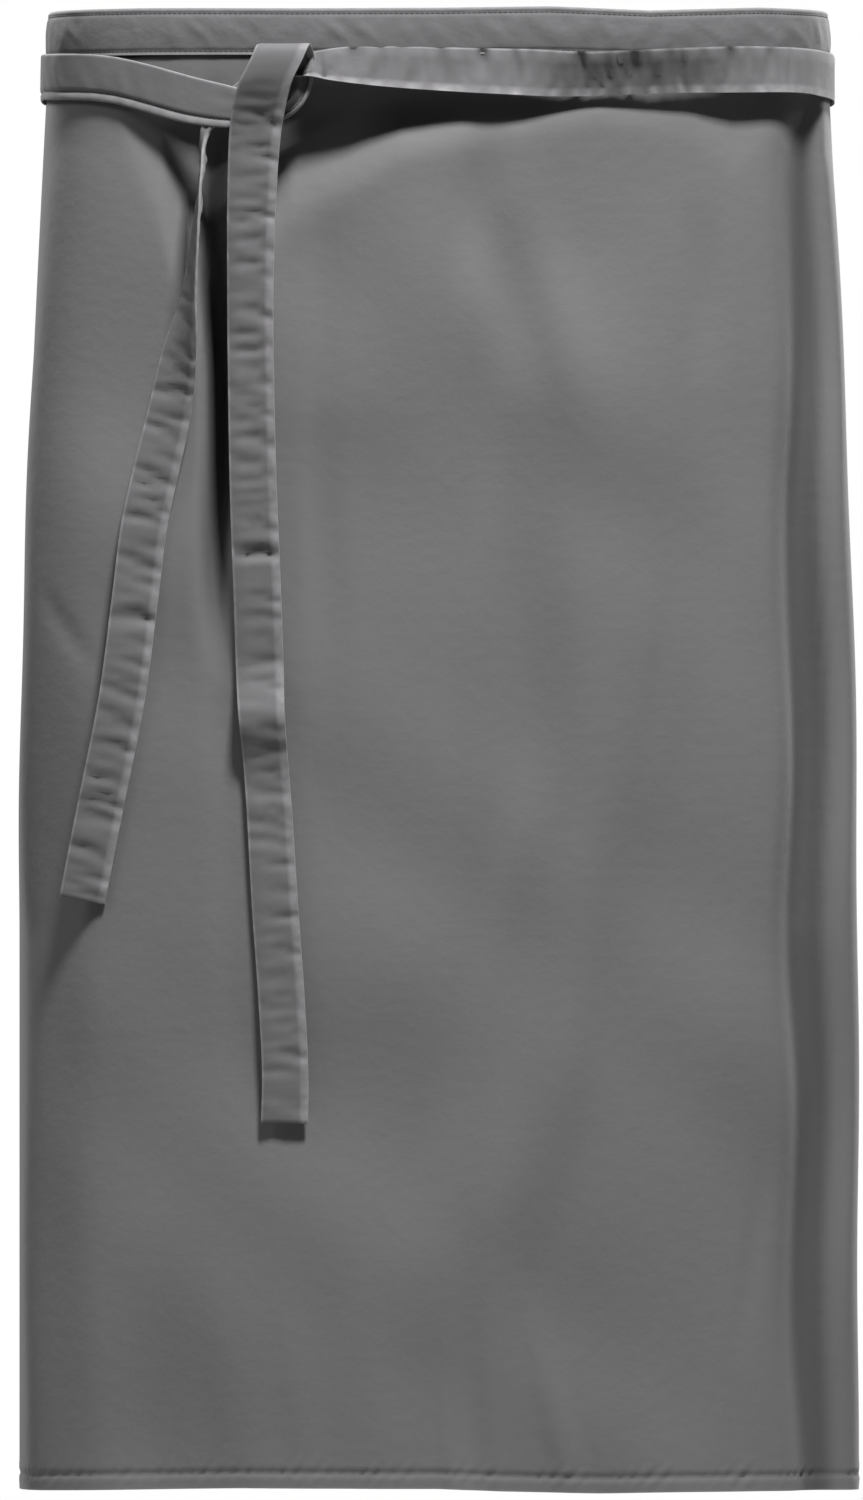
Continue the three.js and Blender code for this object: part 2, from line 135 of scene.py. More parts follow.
class Section:
    """A level section of the worn form: a squared ellipse with its running lengths."""

    SAMPLES = 5760

    def __init__(self, half_width: float, half_depth: float, squareness: float) -> None:
        """Works out the outline.

        Args:
            half_width: Half of the width seen from the front.
            half_depth: Half of the depth from front to back.
            squareness: 2 for an ellipse, more for squarer corners.
        """
        turn = np.linspace(0.0, TURN, self.SAMPLES + 1)
        across, back = np.sin(turn), -np.cos(turn)
        power = 2 / squareness
        self.x = half_width * np.sign(across) * np.abs(across) ** power
        self.y = half_depth * np.sign(back) * np.abs(back) ** power
        self.lengths = run_along(np.stack([self.x, self.y], axis=1))
        self.girth = float(self.lengths[-1])

    def at(self, length: Array) -> tuple[Array, Array]:
        """Plan position at running lengths from the centre front."""
        wrapped = np.mod(length, self.girth)
        return np.interp(wrapped, self.lengths, self.x), np.interp(wrapped, self.lengths, self.y)


@dataclass
class WornForm:
    """The form that the cloth hangs on, from the waist down to the hem."""

    waist_half_width: float = 0.210
    waist_half_depth: float = 0.105
    hem_half_width: float = 0.227
    hem_half_depth: float = 0.102
    squareness: float = 3.0
    flare_length: float = 0.500
    back_opening: float = 0.075
    top: float = field(default_factory=lambda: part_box("waistband")[1].z)
    bottom: float = field(default_factory=lambda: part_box("skirt_panel")[0].z)

    NORMAL_STEPS = 720

    def __post_init__(self) -> None:
        """Works out the two sections and the lengths that follow from them."""
        self.waist = Section(self.waist_half_width, self.waist_half_depth, self.squareness)
        self.hem = Section(self.hem_half_width, self.hem_half_depth, self.squareness)
        self.length = self.top - self.bottom
        self.cut_width = self.waist.girth - self.back_opening
        self.reach = self.waist.girth / self.NORMAL_STEPS

    def across(self, share: Array | float) -> Array:
        """Running length of the point seen at a share of the waist's half width, on the front.

        Args:
            share: Shares from -1 at the left to 1 at the right.

        Returns:
            Running lengths from the centre front.
        """
        quarter = Section.SAMPLES // 4 + 1
        target = np.abs(share) * self.waist_half_width
        return np.sign(share) * np.interp(target, self.waist.x[:quarter], self.waist.lengths[:quarter])

    def at_pixel(self, x_px: float) -> float:
        """Running length at the waist of what the photograph shows at a column."""
        return float(self.across((x_px - PHOTO_CENTRE_PX) / PX_PER_METRE / self.waist_half_width))

    def unwound(self, length: Array) -> Array:
        """Running length brought back to within half a girth of the centre front."""
        return length - self.waist.girth * np.round(length / self.waist.girth)

    def plain(self, length: Array, drop: Array) -> Array:
        """Point of the plain form, without folds.

        Args:
            length: Running lengths from the centre front.
            drop: Drops below the top edge.

        Returns:
            One row of three coordinates for each point.
        """
        inner = self.unwound(length)
        half_cut = self.cut_width / 2
        beyond = np.maximum(np.abs(inner) - half_cut, 0.0)
        stretch = (self.hem.girth / 2 - half_cut) / (self.waist.girth / 2 - half_cut)
        at_hem = np.sign(inner) * (np.minimum(np.abs(inner), half_cut) + beyond * stretch)
        share = np.sin(np.clip(drop / self.flare_length, 0.0, 1.0) * math.pi / 2)
        waist_x, waist_y = self.waist.at(inner)
        hem_x, hem_y = self.hem.at(at_hem)
        x = waist_x + (hem_x - waist_x) * share
        y = waist_y + (hem_y - waist_y) * share
        return np.stack([x, y, self.top - drop], axis=-1)

    def normal(self, length: Array, drop: Array) -> Array:
        """Outward direction of the plain form, level with the ground."""
        along = self.plain(length + self.reach, drop) - self.plain(length - self.reach, drop)
        return unit(np.stack([along[..., 1], -along[..., 0], np.zeros_like(along[..., 0])], axis=-1))


@dataclass(frozen=True)
class Fold:
    """One fold of the hanging cloth, a ridge or a valley along a gently curved line.

    start and end are shares of the apron's length; across holds shares of the half width at the
    start, the middle and the end; left and right are the fold's reaches to both sides of its line;
    height is outwards if positive.
    """

    start: float
    end: float
    across: tuple[float, float, float]
    left: float
    right: float
    height: float
    fade: float = 1.4

    WANDER = 2.5 * MM
    WANDER_LENGTH = 0.21
    WANDER_PHASE = 40.0

    def offset(self, form: WornForm, length: Array, drop: Array) -> Array:
        """Outward offset at running lengths and drops.

        Args:
            form: The form that the cloth hangs on.
            length: Running lengths from the centre front.
            drop: Drops below the top edge.

        Returns:
            Offsets in metres.
        """
        progress = np.clip((drop / form.length - self.start) / (self.end - self.start), 0.0, 1.0)
        first, middle, last = (float(form.across(share)) for share in self.across)
        turn = 4 * middle - 3 * first - last
        centre = first + turn * progress + (last - first - turn) * progress**2
        wander = self.WANDER * np.sin(TURN * drop / self.WANDER_LENGTH + self.WANDER_PHASE * first)
        away = length - centre - wander
        reach = np.where(away < 0, self.left, self.right)
        profile = np.cos(np.clip(np.abs(away) / reach, 0.0, 1.0) * math.pi / 2) ** 2
        return self.height * profile * np.sin(progress * math.pi) ** self.fade


def ridge(
    start: float, end: float, across: tuple[float, float, float], spread: float, height: float
) -> Fold:
    """A fold with the same reach to both sides, its spread a share of the waist's half width."""
    reach = spread * WornForm.waist_half_width
    return Fold(start, end, across, reach, reach, height, 1.0)


# The main folds, as the frame has them
MAIN_FOLDS = (
    ridge(0.035, 0.27, (-0.34, -0.34, -0.33), 0.30, -4.8 * MM),
    ridge(0.06, 1.2, (0.93, 0.925, 0.94), 0.12, -6.0 * MM),
    ridge(0.08, 1.2, (0.80, 0.82, 0.83), 0.20, 2.7 * MM),
    ridge(0.16, 0.92, (0.36, 0.38, -0.05), 0.26, 4.5 * MM),
    ridge(0.16, 1.2, (0.13, 0.20, 0.10), 0.24, -3.3 * MM),
    ridge(0.30, 1.2, (0.60, 0.57, 0.55), 0.18, -2.1 * MM),
    ridge(0.70, 1.3, (-0.28, -0.25, -0.20), 0.28, 2.7 * MM),
    ridge(0.68, 1.3, (-0.62, -0.60, -0.60), 0.34, -3.0 * MM),
    ridge(0.20, 1.3, (-0.96, -0.95, -0.93), 0.14, -2.1 * MM),
)

# Smaller folds and pulls that only the finished surface has
FINE_FOLDS = (
    # the deep pleat between the two hanging ends, and its run along the long end
    Fold(0.04, 0.46, (-0.575, -0.57, -0.55), 0.013, 0.012, -22.0 * MM, 1.5),
    Fold(0.18, 0.80, (-0.56, -0.555, -0.47), 0.016, 0.018, -1.4 * MM),
    # valley beside the long end
    Fold(0.10, 0.62, (-0.30, -0.295, -0.29), 0.014, 0.018, -1.7 * MM),
    # swell of the left part
    Fold(0.09, 0.62, (-0.965, -0.965, -0.99), 0.045, 0.085, 8.5 * MM, 0.9),
    Fold(0.55, 1.30, (-0.97, -0.97, -0.97), 0.040, 0.080, 3.5 * MM),
    # the narrow deep valley near the right edge and the rim beside it
    Fold(0.05, 1.20, (0.965, 0.96, 0.97), 0.036, 0.016, -11.0 * MM, 0.4),
    Fold(0.045, 0.62, (0.96, 0.96, 0.965), 0.040, 0.016, -4.0 * MM, 0.5),
    Fold(0.10, 1.20, (0.99, 0.99, 0.995), 0.016, 0.030, 5.0 * MM, 0.4),
    # pulls below the waist on the right of the front
    Fold(0.05, 0.20, (0.14, 0.11, 0.10), 0.018, 0.022, -2.6 * MM),
    Fold(0.07, 0.34, (0.16, 0.31, 0.40), 0.024, 0.026, 1.6 * MM),
    Fold(0.13, 0.27, (0.18, 0.19, 0.20), 0.022, 0.026, -2.6 * MM),
    Fold(0.25, 0.66, (0.10, 0.10, 0.06), 0.014, 0.018, 1.2 * MM),
    Fold(0.30, 0.60, (0.24, 0.25, 0.24), 0.030, 0.030, -2.4 * MM),
    Fold(0.36, 0.54, (0.57, 0.56, 0.55), 0.009, 0.012, -0.8 * MM),
    Fold(0.12, 0.26, (0.66, 0.69, 0.70), 0.018, 0.020, -1.8 * MM),
    Fold(0.52, 0.82, (0.31, 0.20, 0.12), 0.020, 0.020, -2.4 * MM),
    Fold(0.50, 0.86, (0.44, 0.33, 0.24), 0.022, 0.022, 2.0 * MM),
    Fold(0.76, 0.92, (0.82, 0.79, 0.78), 0.009, 0.009, -0.9 * MM),
    # the crescent crease at the left
    Fold(0.385, 0.45, (-0.97, -0.93, -0.86), 0.009, 0.012, -1.4 * MM),
    # short folds that stand on the hem
    Fold(0.88, 1.12, (0.02, 0.05, 0.08), 0.010, 0.014, 1.6 * MM),
    Fold(0.80, 1.10, (0.06, 0.10, 0.15), 0.014, 0.012, -1.6 * MM),
    Fold(0.86, 1.12, (0.24, 0.33, 0.40), 0.012, 0.016, 1.6 * MM),
    Fold(0.82, 1.14, (-0.74, -0.70, -0.66), 0.040, 0.040, -2.6 * MM),
    Fold(0.82, 1.14, (-0.32, -0.26, -0.20), 0.026, 0.028, -2.4 * MM),
    Fold(0.84, 1.14, (-0.52, -0.48, -0.46), 0.026, 0.026, 2.0 * MM),
)


@dataclass(frozen=True)
class Hollow:
    """Where the pulled waistband stands out from the cloth that hangs below it.

    Each row holds a column of the photograph, the depth there, the drop at which the cloth starts
    to fall back, the drop down to which it stays back and the drop at which it is out again.
    """

    rows: Rows
    fall: float = 12.0 * MM

    def offset(self, form: WornForm, length: Array, drop: Array) -> Array:
        """Outward offset at running lengths and drops.

        Args:
            form: The form that the cloth hangs on.
            length: Running lengths from the centre front.
            drop: Drops below the top edge.

        Returns:
            Offsets in metres, negative inwards.
        """
        table = np.array(self.rows)
        at = np.array([form.at_pixel(column) for column in table[:, 0]])
        depth, start, stay, end = (np.interp(length, at, column) for column in table[:, 1:].T)
        falling = smoothstep(0.0, 1.0, (drop - start) / self.fall)
        return -depth * falling * (1 - smoothstep(0.0, 1.0, (drop - stay) / (end - stay)))


UNDER_BAND = Hollow((
    (120, 0.0, 50 * MM, 56 * MM, 70 * MM),
    (160, 5.0 * MM, 50 * MM, 64 * MM, 120 * MM),
    (180, 13.0 * MM, 49 * MM, 90 * MM, 165 * MM),
    (205, 20.0 * MM, 48 * MM, 120 * MM, 205 * MM),
    (240, 20.0 * MM, 44 * MM, 100 * MM, 180 * MM),
    (262, 18.0 * MM, 34 * MM, 62 * MM, 140 * MM),
    (290, 18.0 * MM, 25 * MM, 54 * MM, 120 * MM),
    (340, 18.0 * MM, 24.5 * MM, 52 * MM, 105 * MM),
    (400, 15.0 * MM, 24.5 * MM, 45 * MM, 84 * MM),
    (460, 10.0 * MM, 24.5 * MM, 42 * MM, 76 * MM),
    (600, 4.5 * MM, 24.5 * MM, 38 * MM, 62 * MM),
    (690, 3.0 * MM, 24.5 * MM, 40 * MM, 72 * MM),
    (735, 4.0 * MM, 24.5 * MM, 44 * MM, 92 * MM),
    (785, 2.5 * MM, 24.5 * MM, 38 * MM, 66 * MM),
    (822, 0.0, 24.5 * MM, 30 * MM, 50 * MM),
))


@dataclass(frozen=True)
class Wave:
    """A slow wave in the cloth: wave lengths across and down, height and phase."""

    across: float
    down: float
    height: float
    phase: float

    def offset(self, length: Array, drop: Array) -> Array:
        """Outward offset at running lengths and drops."""
        return self.height * np.sin(TURN * (length / self.across + drop / self.down) + self.phase)


# Slow waves: ranges of their length and of their share of the full height, the most that they turn,
# the height of a wave as a share of its length and the least sine taken for its length across
WAVE_REACHES = (0.07, 0.24)
WAVE_HEIGHTS = (0.4, 1.0)
WAVE_TURN = 1.1
WAVE_STEEPNESS = 0.0026
LEAST_SINE = 0.15


def slow_waves(seed: int = 21, count: int = 16) -> tuple[Wave, ...]:
    """Large soft crumples of the cloth.

    Args:
        seed: Seed of the waves' directions and lengths.
        count: Number of waves.

    Returns:
        The waves, the long ones higher than the short ones.
    """
    chance = np.random.default_rng(seed)
    waves = []
    for _ in range(count):
        reach = chance.uniform(*WAVE_REACHES)
        turn = chance.uniform(-WAVE_TURN, WAVE_TURN)
        height = WAVE_STEEPNESS * reach * chance.uniform(*WAVE_HEIGHTS)
        across = reach / max(abs(math.sin(turn)), LEAST_SINE) * math.copysign(1.0, turn)
        waves.append(Wave(across, reach / math.cos(turn), height, chance.uniform(0, TURN)))
    return tuple(waves)


SLOW_WAVES = slow_waves()


class Cloth:
    """The surface of the hanging cloth: the worn form with its folds, pulls and uneven edges."""

    TOP_WAVE_REACH = 0.05
    DEEPEST = 23.5 * MM
    # Fold depths at which the painted shade in the narrow folds starts and is full
    SHALLOW = 1.5 * MM
    FULL_SHADE_DEPTH = 9.0 * MM
    FRONT_FLAT = 0.17
    FRONT_EDGE = 0.25
    WAVES_START = 0.02
    WAVES_FULL = 0.10
    HEM_LIFT_REACH = 0.30
    HEM_STITCH_INSET = 1.5 * MM
    HEM_PULL = 0.8 * MM
    HEM_PULL_REACH = 1.6 * MM
    PUCKER_PITCH = 7.3 * MM
    PUCKER_HEIGHT = 0.8 * MM
    PUCKER_REACH = 10.0 * MM
    PUCKER_FADE = 1.5
    PUCKER_SLANT = 0.6
    PUCKER_JITTER = 1.7
    JITTER_LENGTH = 0.047
    UNEVEN_LENGTHS = (0.083, 0.031)
    UNEVEN_PHASE = 1.1
    UNEVEN_SHARE = 0.4
    EDGE_COLUMNS_PX = (50, 826)
    EDGE_RUN_OUT = 0.05

    # Heights of the top edge and of the hem over their level lines, by column of the photograph
    TOP_EDGE_PX = (
        (50, 0.0), (150, 1.0), (300, 0.0), (440, 0.5), (550, 2.0), (650, -2.0), (760, 2.0), (831, 0.0),
    )
    HEM_EDGE_PX = (
        (14, 0.0), (60, 1.0), (240, 5.0), (440, 4.5), (500, 2.0), (600, 0.0), (680, 1.0), (760, 1.5),
        (859, 0.0),
    )

    def __init__(self, form: WornForm, hem_height: float) -> None:
        """Keeps the form and where the hem's stitches lie.

        Args:
            form: The form that the cloth hangs on.
            hem_height: Height of the turned-up hem.
        """
        self.form = form
        self.hem_line = form.length - hem_height + self.HEM_STITCH_INSET
        self.top_at, self.top_lift = self._edge(self.TOP_EDGE_PX)
        self.hem_at, self.hem_lift = self._edge(self.HEM_EDGE_PX)

    def _edge(self, table: Sequence[tuple[float, float]]) -> tuple[Array, Array]:
        """Running lengths and lifts of an edge from its table of photograph pixels.

        Args:
            table: Columns of the photograph and the edge's height there, both in pixels.

        Returns:
            The running lengths and the lifts in metres.
        """
        columns = np.clip([column for column, _ in table], *self.EDGE_COLUMNS_PX)
        lengths = np.array([self.form.at_pixel(column) for column in columns])
        lengths[0] -= self.EDGE_RUN_OUT
        lengths[-1] += self.EDGE_RUN_OUT
        return lengths, np.array([lift for _, lift in table]) / PX_PER_METRE

    def puckers(self, length: Array, drop: Array) -> Array:
        """Small ripples that the stitches of the bottom hem pull into the cloth.

        Args:
            length: Running lengths from the centre front.
            drop: Drops below the top edge.

        Returns:
            Offsets in metres, negative inwards.
        """
        away = np.clip(1 - np.abs(drop - self.hem_line) / self.PUCKER_REACH, 0.0, 1.0)
        slow, quick = self.UNEVEN_LENGTHS
        beat = np.sin(TURN * length / slow + self.UNEVEN_PHASE) * np.sin(TURN * length / quick)
        uneven = 1 - self.UNEVEN_SHARE + self.UNEVEN_SHARE * beat
        lean = (drop - self.hem_line) * self.PUCKER_SLANT
        jitter = self.PUCKER_JITTER * np.sin(TURN * length / self.JITTER_LENGTH)
        waves = np.sin(TURN * (length + lean) / self.PUCKER_PITCH + jitter)
        pull = -self.HEM_PULL * np.exp(-((drop - self.hem_line) / self.HEM_PULL_REACH) ** 2)
        return pull + self.PUCKER_HEIGHT * waves * uneven * away**self.PUCKER_FADE

    def lift(self, length: Array, drop: Array) -> Array:
        """Height that the uneven top edge and hem add to a point.

        Args:
            length: Running lengths from the centre front.
            drop: Drops below the top edge.

        Returns:
            Heights in metres.
        """
        near_top = 1 - smoothstep(0, self.TOP_WAVE_REACH, drop)
        near_hem = smoothstep(self.form.length - self.HEM_LIFT_REACH, self.form.length, drop)
        top = np.interp(length, self.top_at, self.top_lift) * near_top
        hem = np.interp(length, self.hem_at, self.hem_lift) * near_hem
        return top + hem

    def fine(self, inner: Array, drop: Array) -> Array:
        """Outward offset of the smaller folds alone."""
        return sum(fold.offset(self.form, inner, drop) for fold in FINE_FOLDS)

    def fold_shade_share(self, length: Array, drop: Array) -> Array:
        """How much painted shade darkens the narrow folds, from 0 to 1."""
        depth = -self.fine(self.form.unwound(length), drop)
        return smoothstep(self.SHALLOW, self.FULL_SHADE_DEPTH, depth)

    def offset(self, length: Array, drop: Array) -> Array:
        """Outward offset of all folds at running lengths and drops.

        Args:
            length: Running lengths from the centre front.
            drop: Drops below the top edge.

        Returns:
            Offsets in metres, negative inwards.
        """
        inner = self.form.unwound(length)
        total = UNDER_BAND.offset(self.form, inner, drop) + self.fine(inner, drop)
        for fold in MAIN_FOLDS:
            total = total + fold.offset(self.form, inner, drop)
        side = 1 - smoothstep(self.FRONT_FLAT, self.FRONT_EDGE, np.abs(inner))
        fade = smoothstep(self.WAVES_START, self.WAVES_FULL, drop) * side
        for wave in SLOW_WAVES:
            total = total + fade * wave.offset(inner, drop)
        return np.maximum(total, -self.DEEPEST) + self.puckers(inner, drop)

    def point(self, length: Array, drop: Array, outside: Array | float) -> Array:
        """Point at a distance outside the panel's outer face.

        Args:
            length: Running lengths from the centre front.
            drop: Drops below the top edge.
            outside: Distances outside the face, negative inside.

        Returns:
            One row of three coordinates for each point.
        """
        out = self.offset(length, drop) + outside
        place = self.form.plain(length, drop) + self.form.normal(length, drop) * out[..., None]
        place[..., 2] += self.lift(self.form.unwound(length), drop)
        return place


class Workshop:
    """Modelling steps that all the pieces share."""

    SMOOTH_ANGLE = math.radians(50)
    MERGE_DISTANCE = 0.01 * MM

    @staticmethod
    def grid(name: str, columns: int, rows: int) -> bpy.types.Object:
        """Adds a flat grid of unit size to be moved into shape.

        Args:
            name: Name of the piece.
            columns: Faces along X.
            rows: Faces along Y.

        Returns:
            The new object.
        """
        bpy.ops.object.select_all(action="DESELECT")
        bpy.ops.mesh.primitive_grid_add(x_subdivisions=columns, y_subdivisions=rows, size=1.0)
        piece = bpy.context.active_object
        piece.name = name
        piece.data.name = name
        return piece

    @staticmethod
    def shares(piece: bpy.types.Object) -> tuple[Array, Array]:
        """Shares from 0 to 1 of each vertex of a unit grid along X and Y.

        Args:
            piece: The unit grid.

        Returns:
            The shares along X and the shares along Y.
        """
        flat = np.empty(len(piece.data.vertices) * 3)
        piece.data.vertices.foreach_get("co", flat)
        places = flat.reshape(-1, 3) + 0.5
        return places[:, 0], places[:, 1]

    @staticmethod
    def shape(piece: bpy.types.Object, places: Array, cloth_uv: Array) -> None:
        """Moves the vertices to their places and lays the cloth's own coordinates on the faces.

        Args:
            piece: The grid to shape.
            places: New place of each vertex.
            cloth_uv: Position of each vertex on the flat cloth, in metres.
        """
        mesh = piece.data
        mesh.vertices.foreach_set("co", places.astype(np.float32).ravel())
        corners = np.empty(len(mesh.loops), dtype=np.int64)
        mesh.loops.foreach_get("vertex_index", corners)
        layer = mesh.uv_layers.active or mesh.uv_layers.new(name="UVMap")
        layer.data.foreach_set("uv", cloth_uv[corners].astype(np.float32).ravel())
        mesh.update()

    @staticmethod
    def attribute(piece: bpy.types.Object, name: str, values: Array) -> None:
        """Stores one number for each vertex under a name that the materials read."""
        layer = piece.data.attributes.new(name, "FLOAT", "POINT")
        layer.data.foreach_set("value", values.astype(np.float32))

    @staticmethod
    def choose(piece: bpy.types.Object) -> None:
        """Makes a piece the only selected and the active one.

        Args:
            piece: The piece to choose.
        """
        bpy.ops.object.select_all(action="DESELECT")
        piece.select_set(True)
        bpy.context.view_layer.objects.active = piece

    @classmethod
    def give_wall(cls, piece: bpy.types.Object, wall: float, inwards: bool = True) -> None:
        """Gives a sheet its thickness.

        Args:
            piece: The sheet.
            wall: Thickness of the wall.
            inwards: Whether the wall grows against the faces' direction.
        """
        cls.choose(piece)
        solidify = piece.modifiers.new("wall", "SOLIDIFY")
        solidify.thickness = wall
        solidify.offset = -1.0 if inwards else 1.0
        bpy.ops.object.modifier_apply(modifier=solidify.name)

    @classmethod
    def close(cls, piece: bpy.types.Object) -> None:
        """Joins the long edges of a wrapped grid, fills its ends and turns its faces outwards.

        Args:
            piece: The wrapped grid.
        """
        cls.choose(piece)
        bpy.ops.object.mode_set(mode="EDIT")
        bpy.ops.mesh.select_all(action="SELECT")
        bpy.ops.mesh.remove_doubles(threshold=cls.MERGE_DISTANCE)
        bpy.ops.mesh.select_all(action="DESELECT")
        bpy.ops.mesh.select_non_manifold()
        bpy.ops.mesh.fill_holes(sides=0)
        bpy.ops.object.mode_set(mode="OBJECT")
        cls.face_out(piece)

    @classmethod
    def face_out(cls, piece: bpy.types.Object) -> None:
        """Turns the faces of a closed piece outwards.

        Args:
            piece: The closed piece.
        """
        cls.choose(piece)
        bpy.ops.object.mode_set(mode="EDIT")
        bpy.ops.mesh.select_all(action="SELECT")
        bpy.ops.mesh.normals_make_consistent(inside=False)
        bpy.ops.object.mode_set(mode="OBJECT")

    @classmethod
    def finish(cls, piece: bpy.types.Object, material: bpy.types.Material, slot: Slot) -> None:
        """Smooths a piece, dresses it and ties it to the frame.

        Args:
            piece: The finished mesh.
            material: Its material.
            slot: The record's slot that the material belongs to; not used.
        """
        cls.choose(piece)
        bpy.ops.object.shade_smooth_by_angle(angle=cls.SMOOTH_ANGLE)
        piece.data.materials.clear()
        piece.data.materials.append(material)
        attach(piece, BODY)


@dataclass(frozen=True)
class TwillFinish:
    """Dyed cotton twill: its weave, unevenness, sheen, edges lighter from wear and partly a painted
    highlight, and painted shade in the narrow folds.
    """

    name: str
    colour: tuple[float, float, float]
    twill_pitch: float = 0.85 * MM
    twill_slope: float = 0.75
    yarns_per_rib: float = 1.5
    yarn_depth: float = 0.35
    weave_gain: float = 0.37
    weave_height: float = 0.05 * MM
    crumple_height: float = 0.25 * MM
    crumple_scale: float = 130.0
    mottle: float = 0.09
    mottle_scale: float = 7.0
    yarn_tone: float = 0.10
    yarn_scale: float = 1400.0
    weave_tone: float = 0.08
    worn_and_highlit: float = 0.0
    rubbed_scale: float = 160.0
    painted_fold_shade: float = 0.0
    grain: float = 0.55
    roughness: float = 0.82
    sheen: float = 0.12
    sheen_roughness: float = 0.45
    specular: float = 0.25

    # Finer layers in the noise of the cloth's unevenness, of its worn edges and of single yarns
    SOFT_DETAIL = 3.0
    WORN_DETAIL = 2.0
    YARN_DETAIL = 1.0

    def material(self) -> bpy.types.Material:
        """Builds the material's nodes.

        Returns:
            The new material.
        """
        material = bpy.data.materials.new(self.name)
        material.use_nodes = True
        tree = material.node_tree
        tree.nodes.clear()
        output = tree.nodes.new("ShaderNodeOutputMaterial")
        shader = tree.nodes.new("ShaderNodeBsdfPrincipled")
        shader.inputs["Roughness"].default_value = self.roughness
        shader.inputs["Sheen Weight"].default_value = self.sheen
        shader.inputs["Sheen Roughness"].default_value = self.sheen_roughness
        shader.inputs["Specular IOR Level"].default_value = self.specular
        tree.links.new(shader.outputs["BSDF"], output.inputs["Surface"])
        cloth = tree.nodes.new("ShaderNodeUVMap")
        cloth.uv_map = "UVMap"
        weave = self._weave(tree, cloth.outputs["UV"])
        tree.links.new(self._colour(tree, cloth.outputs["UV"], weave), shader.inputs["Base Color"])
        tree.links.new(self._relief(tree, cloth.outputs["UV"], weave), shader.inputs["Normal"])
        return material

    def _math(self, tree: bpy.types.NodeTree, operation: str, *values: Socket | float) -> Socket:
        """Adds a Math node whose inputs are sockets or plain numbers.

        Args:
            tree: The material's nodes.
            operation: What the node does.
            values: Its inputs, in order.

        Returns:
            The node's result.
        """
        node = tree.nodes.new("ShaderNodeMath")
        node.operation = operation
        for place, value in enumerate(values):
            if isinstance(value, Socket):
                tree.links.new(value, node.inputs[place])
            else:
                node.inputs[place].default_value = float(value)
        return node.outputs["Value"]

    def _noise(self, tree: bpy.types.NodeTree, where: Socket, scale: float, detail: float) -> Socket:
        """Adds a noise pattern.

        Args:
            tree: The material's nodes.
            where: Position that the pattern is read at.
            scale: Patches to a metre.
            detail: Finer layers of the pattern.

        Returns:
            The pattern, from 0 to 1.
        """
        node = tree.nodes.new("ShaderNodeTexNoise")
        node.inputs["Scale"].default_value = scale
        node.inputs["Detail"].default_value = detail
        node.inputs["Roughness"].default_value = self.grain
        tree.links.new(where, node.inputs["Vector"])
        return node.outputs["Fac"]

    def _weave(self, tree: bpy.types.NodeTree, cloth: Socket) -> Socket:
        """Diagonal ribs of the twill, cut into single yarns, from 0 to 1.

        Args:
            tree: The material's nodes.
            cloth: Position on the flat cloth.

        Returns:
            The weave, from 0 to 1.
        """
        split = tree.nodes.new("ShaderNodeSeparateXYZ")
        tree.links.new(cloth, split.inputs["Vector"])
        along, up = split.outputs["X"], split.outputs["Y"]
        turn = TURN / self.twill_pitch
        slope = self._math(tree, "MULTIPLY_ADD", up, self.twill_slope, along)
        rib = self._math(tree, "SINE", self._math(tree, "MULTIPLY", slope, turn))
        yarn = self._math(tree, "SINE", self._math(tree, "MULTIPLY", up, turn * self.yarns_per_rib))
        mixed = self._math(tree, "MULTIPLY_ADD", yarn, self.yarn_depth, rib)
        return self._math(tree, "MULTIPLY_ADD", mixed, self.weave_gain, 0.5)

    def _colour(self, tree: bpy.types.NodeTree, cloth: Socket, weave: Socket) -> Socket:
        """Dye colour with slow unevenness, heathered yarns, edges lighter from wear and partly a painted
        highlight, and painted shade in the narrow folds.

        Args:
            tree: The material's nodes.
            cloth: Position on the flat cloth.
            weave: The weave, from 0 to 1.

        Returns:
            The colour.
        """
        slow = self._noise(tree, cloth, self.mottle_scale, self.SOFT_DETAIL)
        yarns = self._noise(tree, cloth, self.yarn_scale, self.YARN_DETAIL)
        level = self._math(tree, "MULTIPLY_ADD", slow, 2 * self.mottle, 1 - self.mottle)
        for pattern, tone in ((yarns, self.yarn_tone), (weave, self.weave_tone)):
            centred = self._math(tree, "SUBTRACT", pattern, 0.5)
            level = self._math(tree, "MULTIPLY_ADD", centred, tone, level)
        # lighter along the edges: wear, and on the ties' rims also a painted highlight
        if self.worn_and_highlit > 0:
            edge = tree.nodes.new("ShaderNodeAttribute")
            edge.attribute_name = "worn_and_highlit"
            uneven = self._noise(tree, cloth, self.rubbed_scale, self.WORN_DETAIL)
            wear_and_highlight = self._math(tree, "MULTIPLY", edge.outputs["Fac"], uneven)
            level = self._math(tree, "MULTIPLY_ADD", wear_and_highlight, 2 * self.worn_and_highlit, level)
        # painted shade: the colour is darker where the narrow folds are deep
        if self.painted_fold_shade > 0:
            fold = tree.nodes.new("ShaderNodeAttribute")
            fold.attribute_name = "painted_fold_shade"
            level = self._math(tree, "MULTIPLY_ADD", fold.outputs["Fac"], -self.painted_fold_shade, level)
        tint = tree.nodes.new("ShaderNodeVectorMath")
        tint.operation = "SCALE"
        tint.inputs[0].default_value = self.colour
        tree.links.new(level, tint.inputs["Scale"])
        return tint.outputs["Vector"]

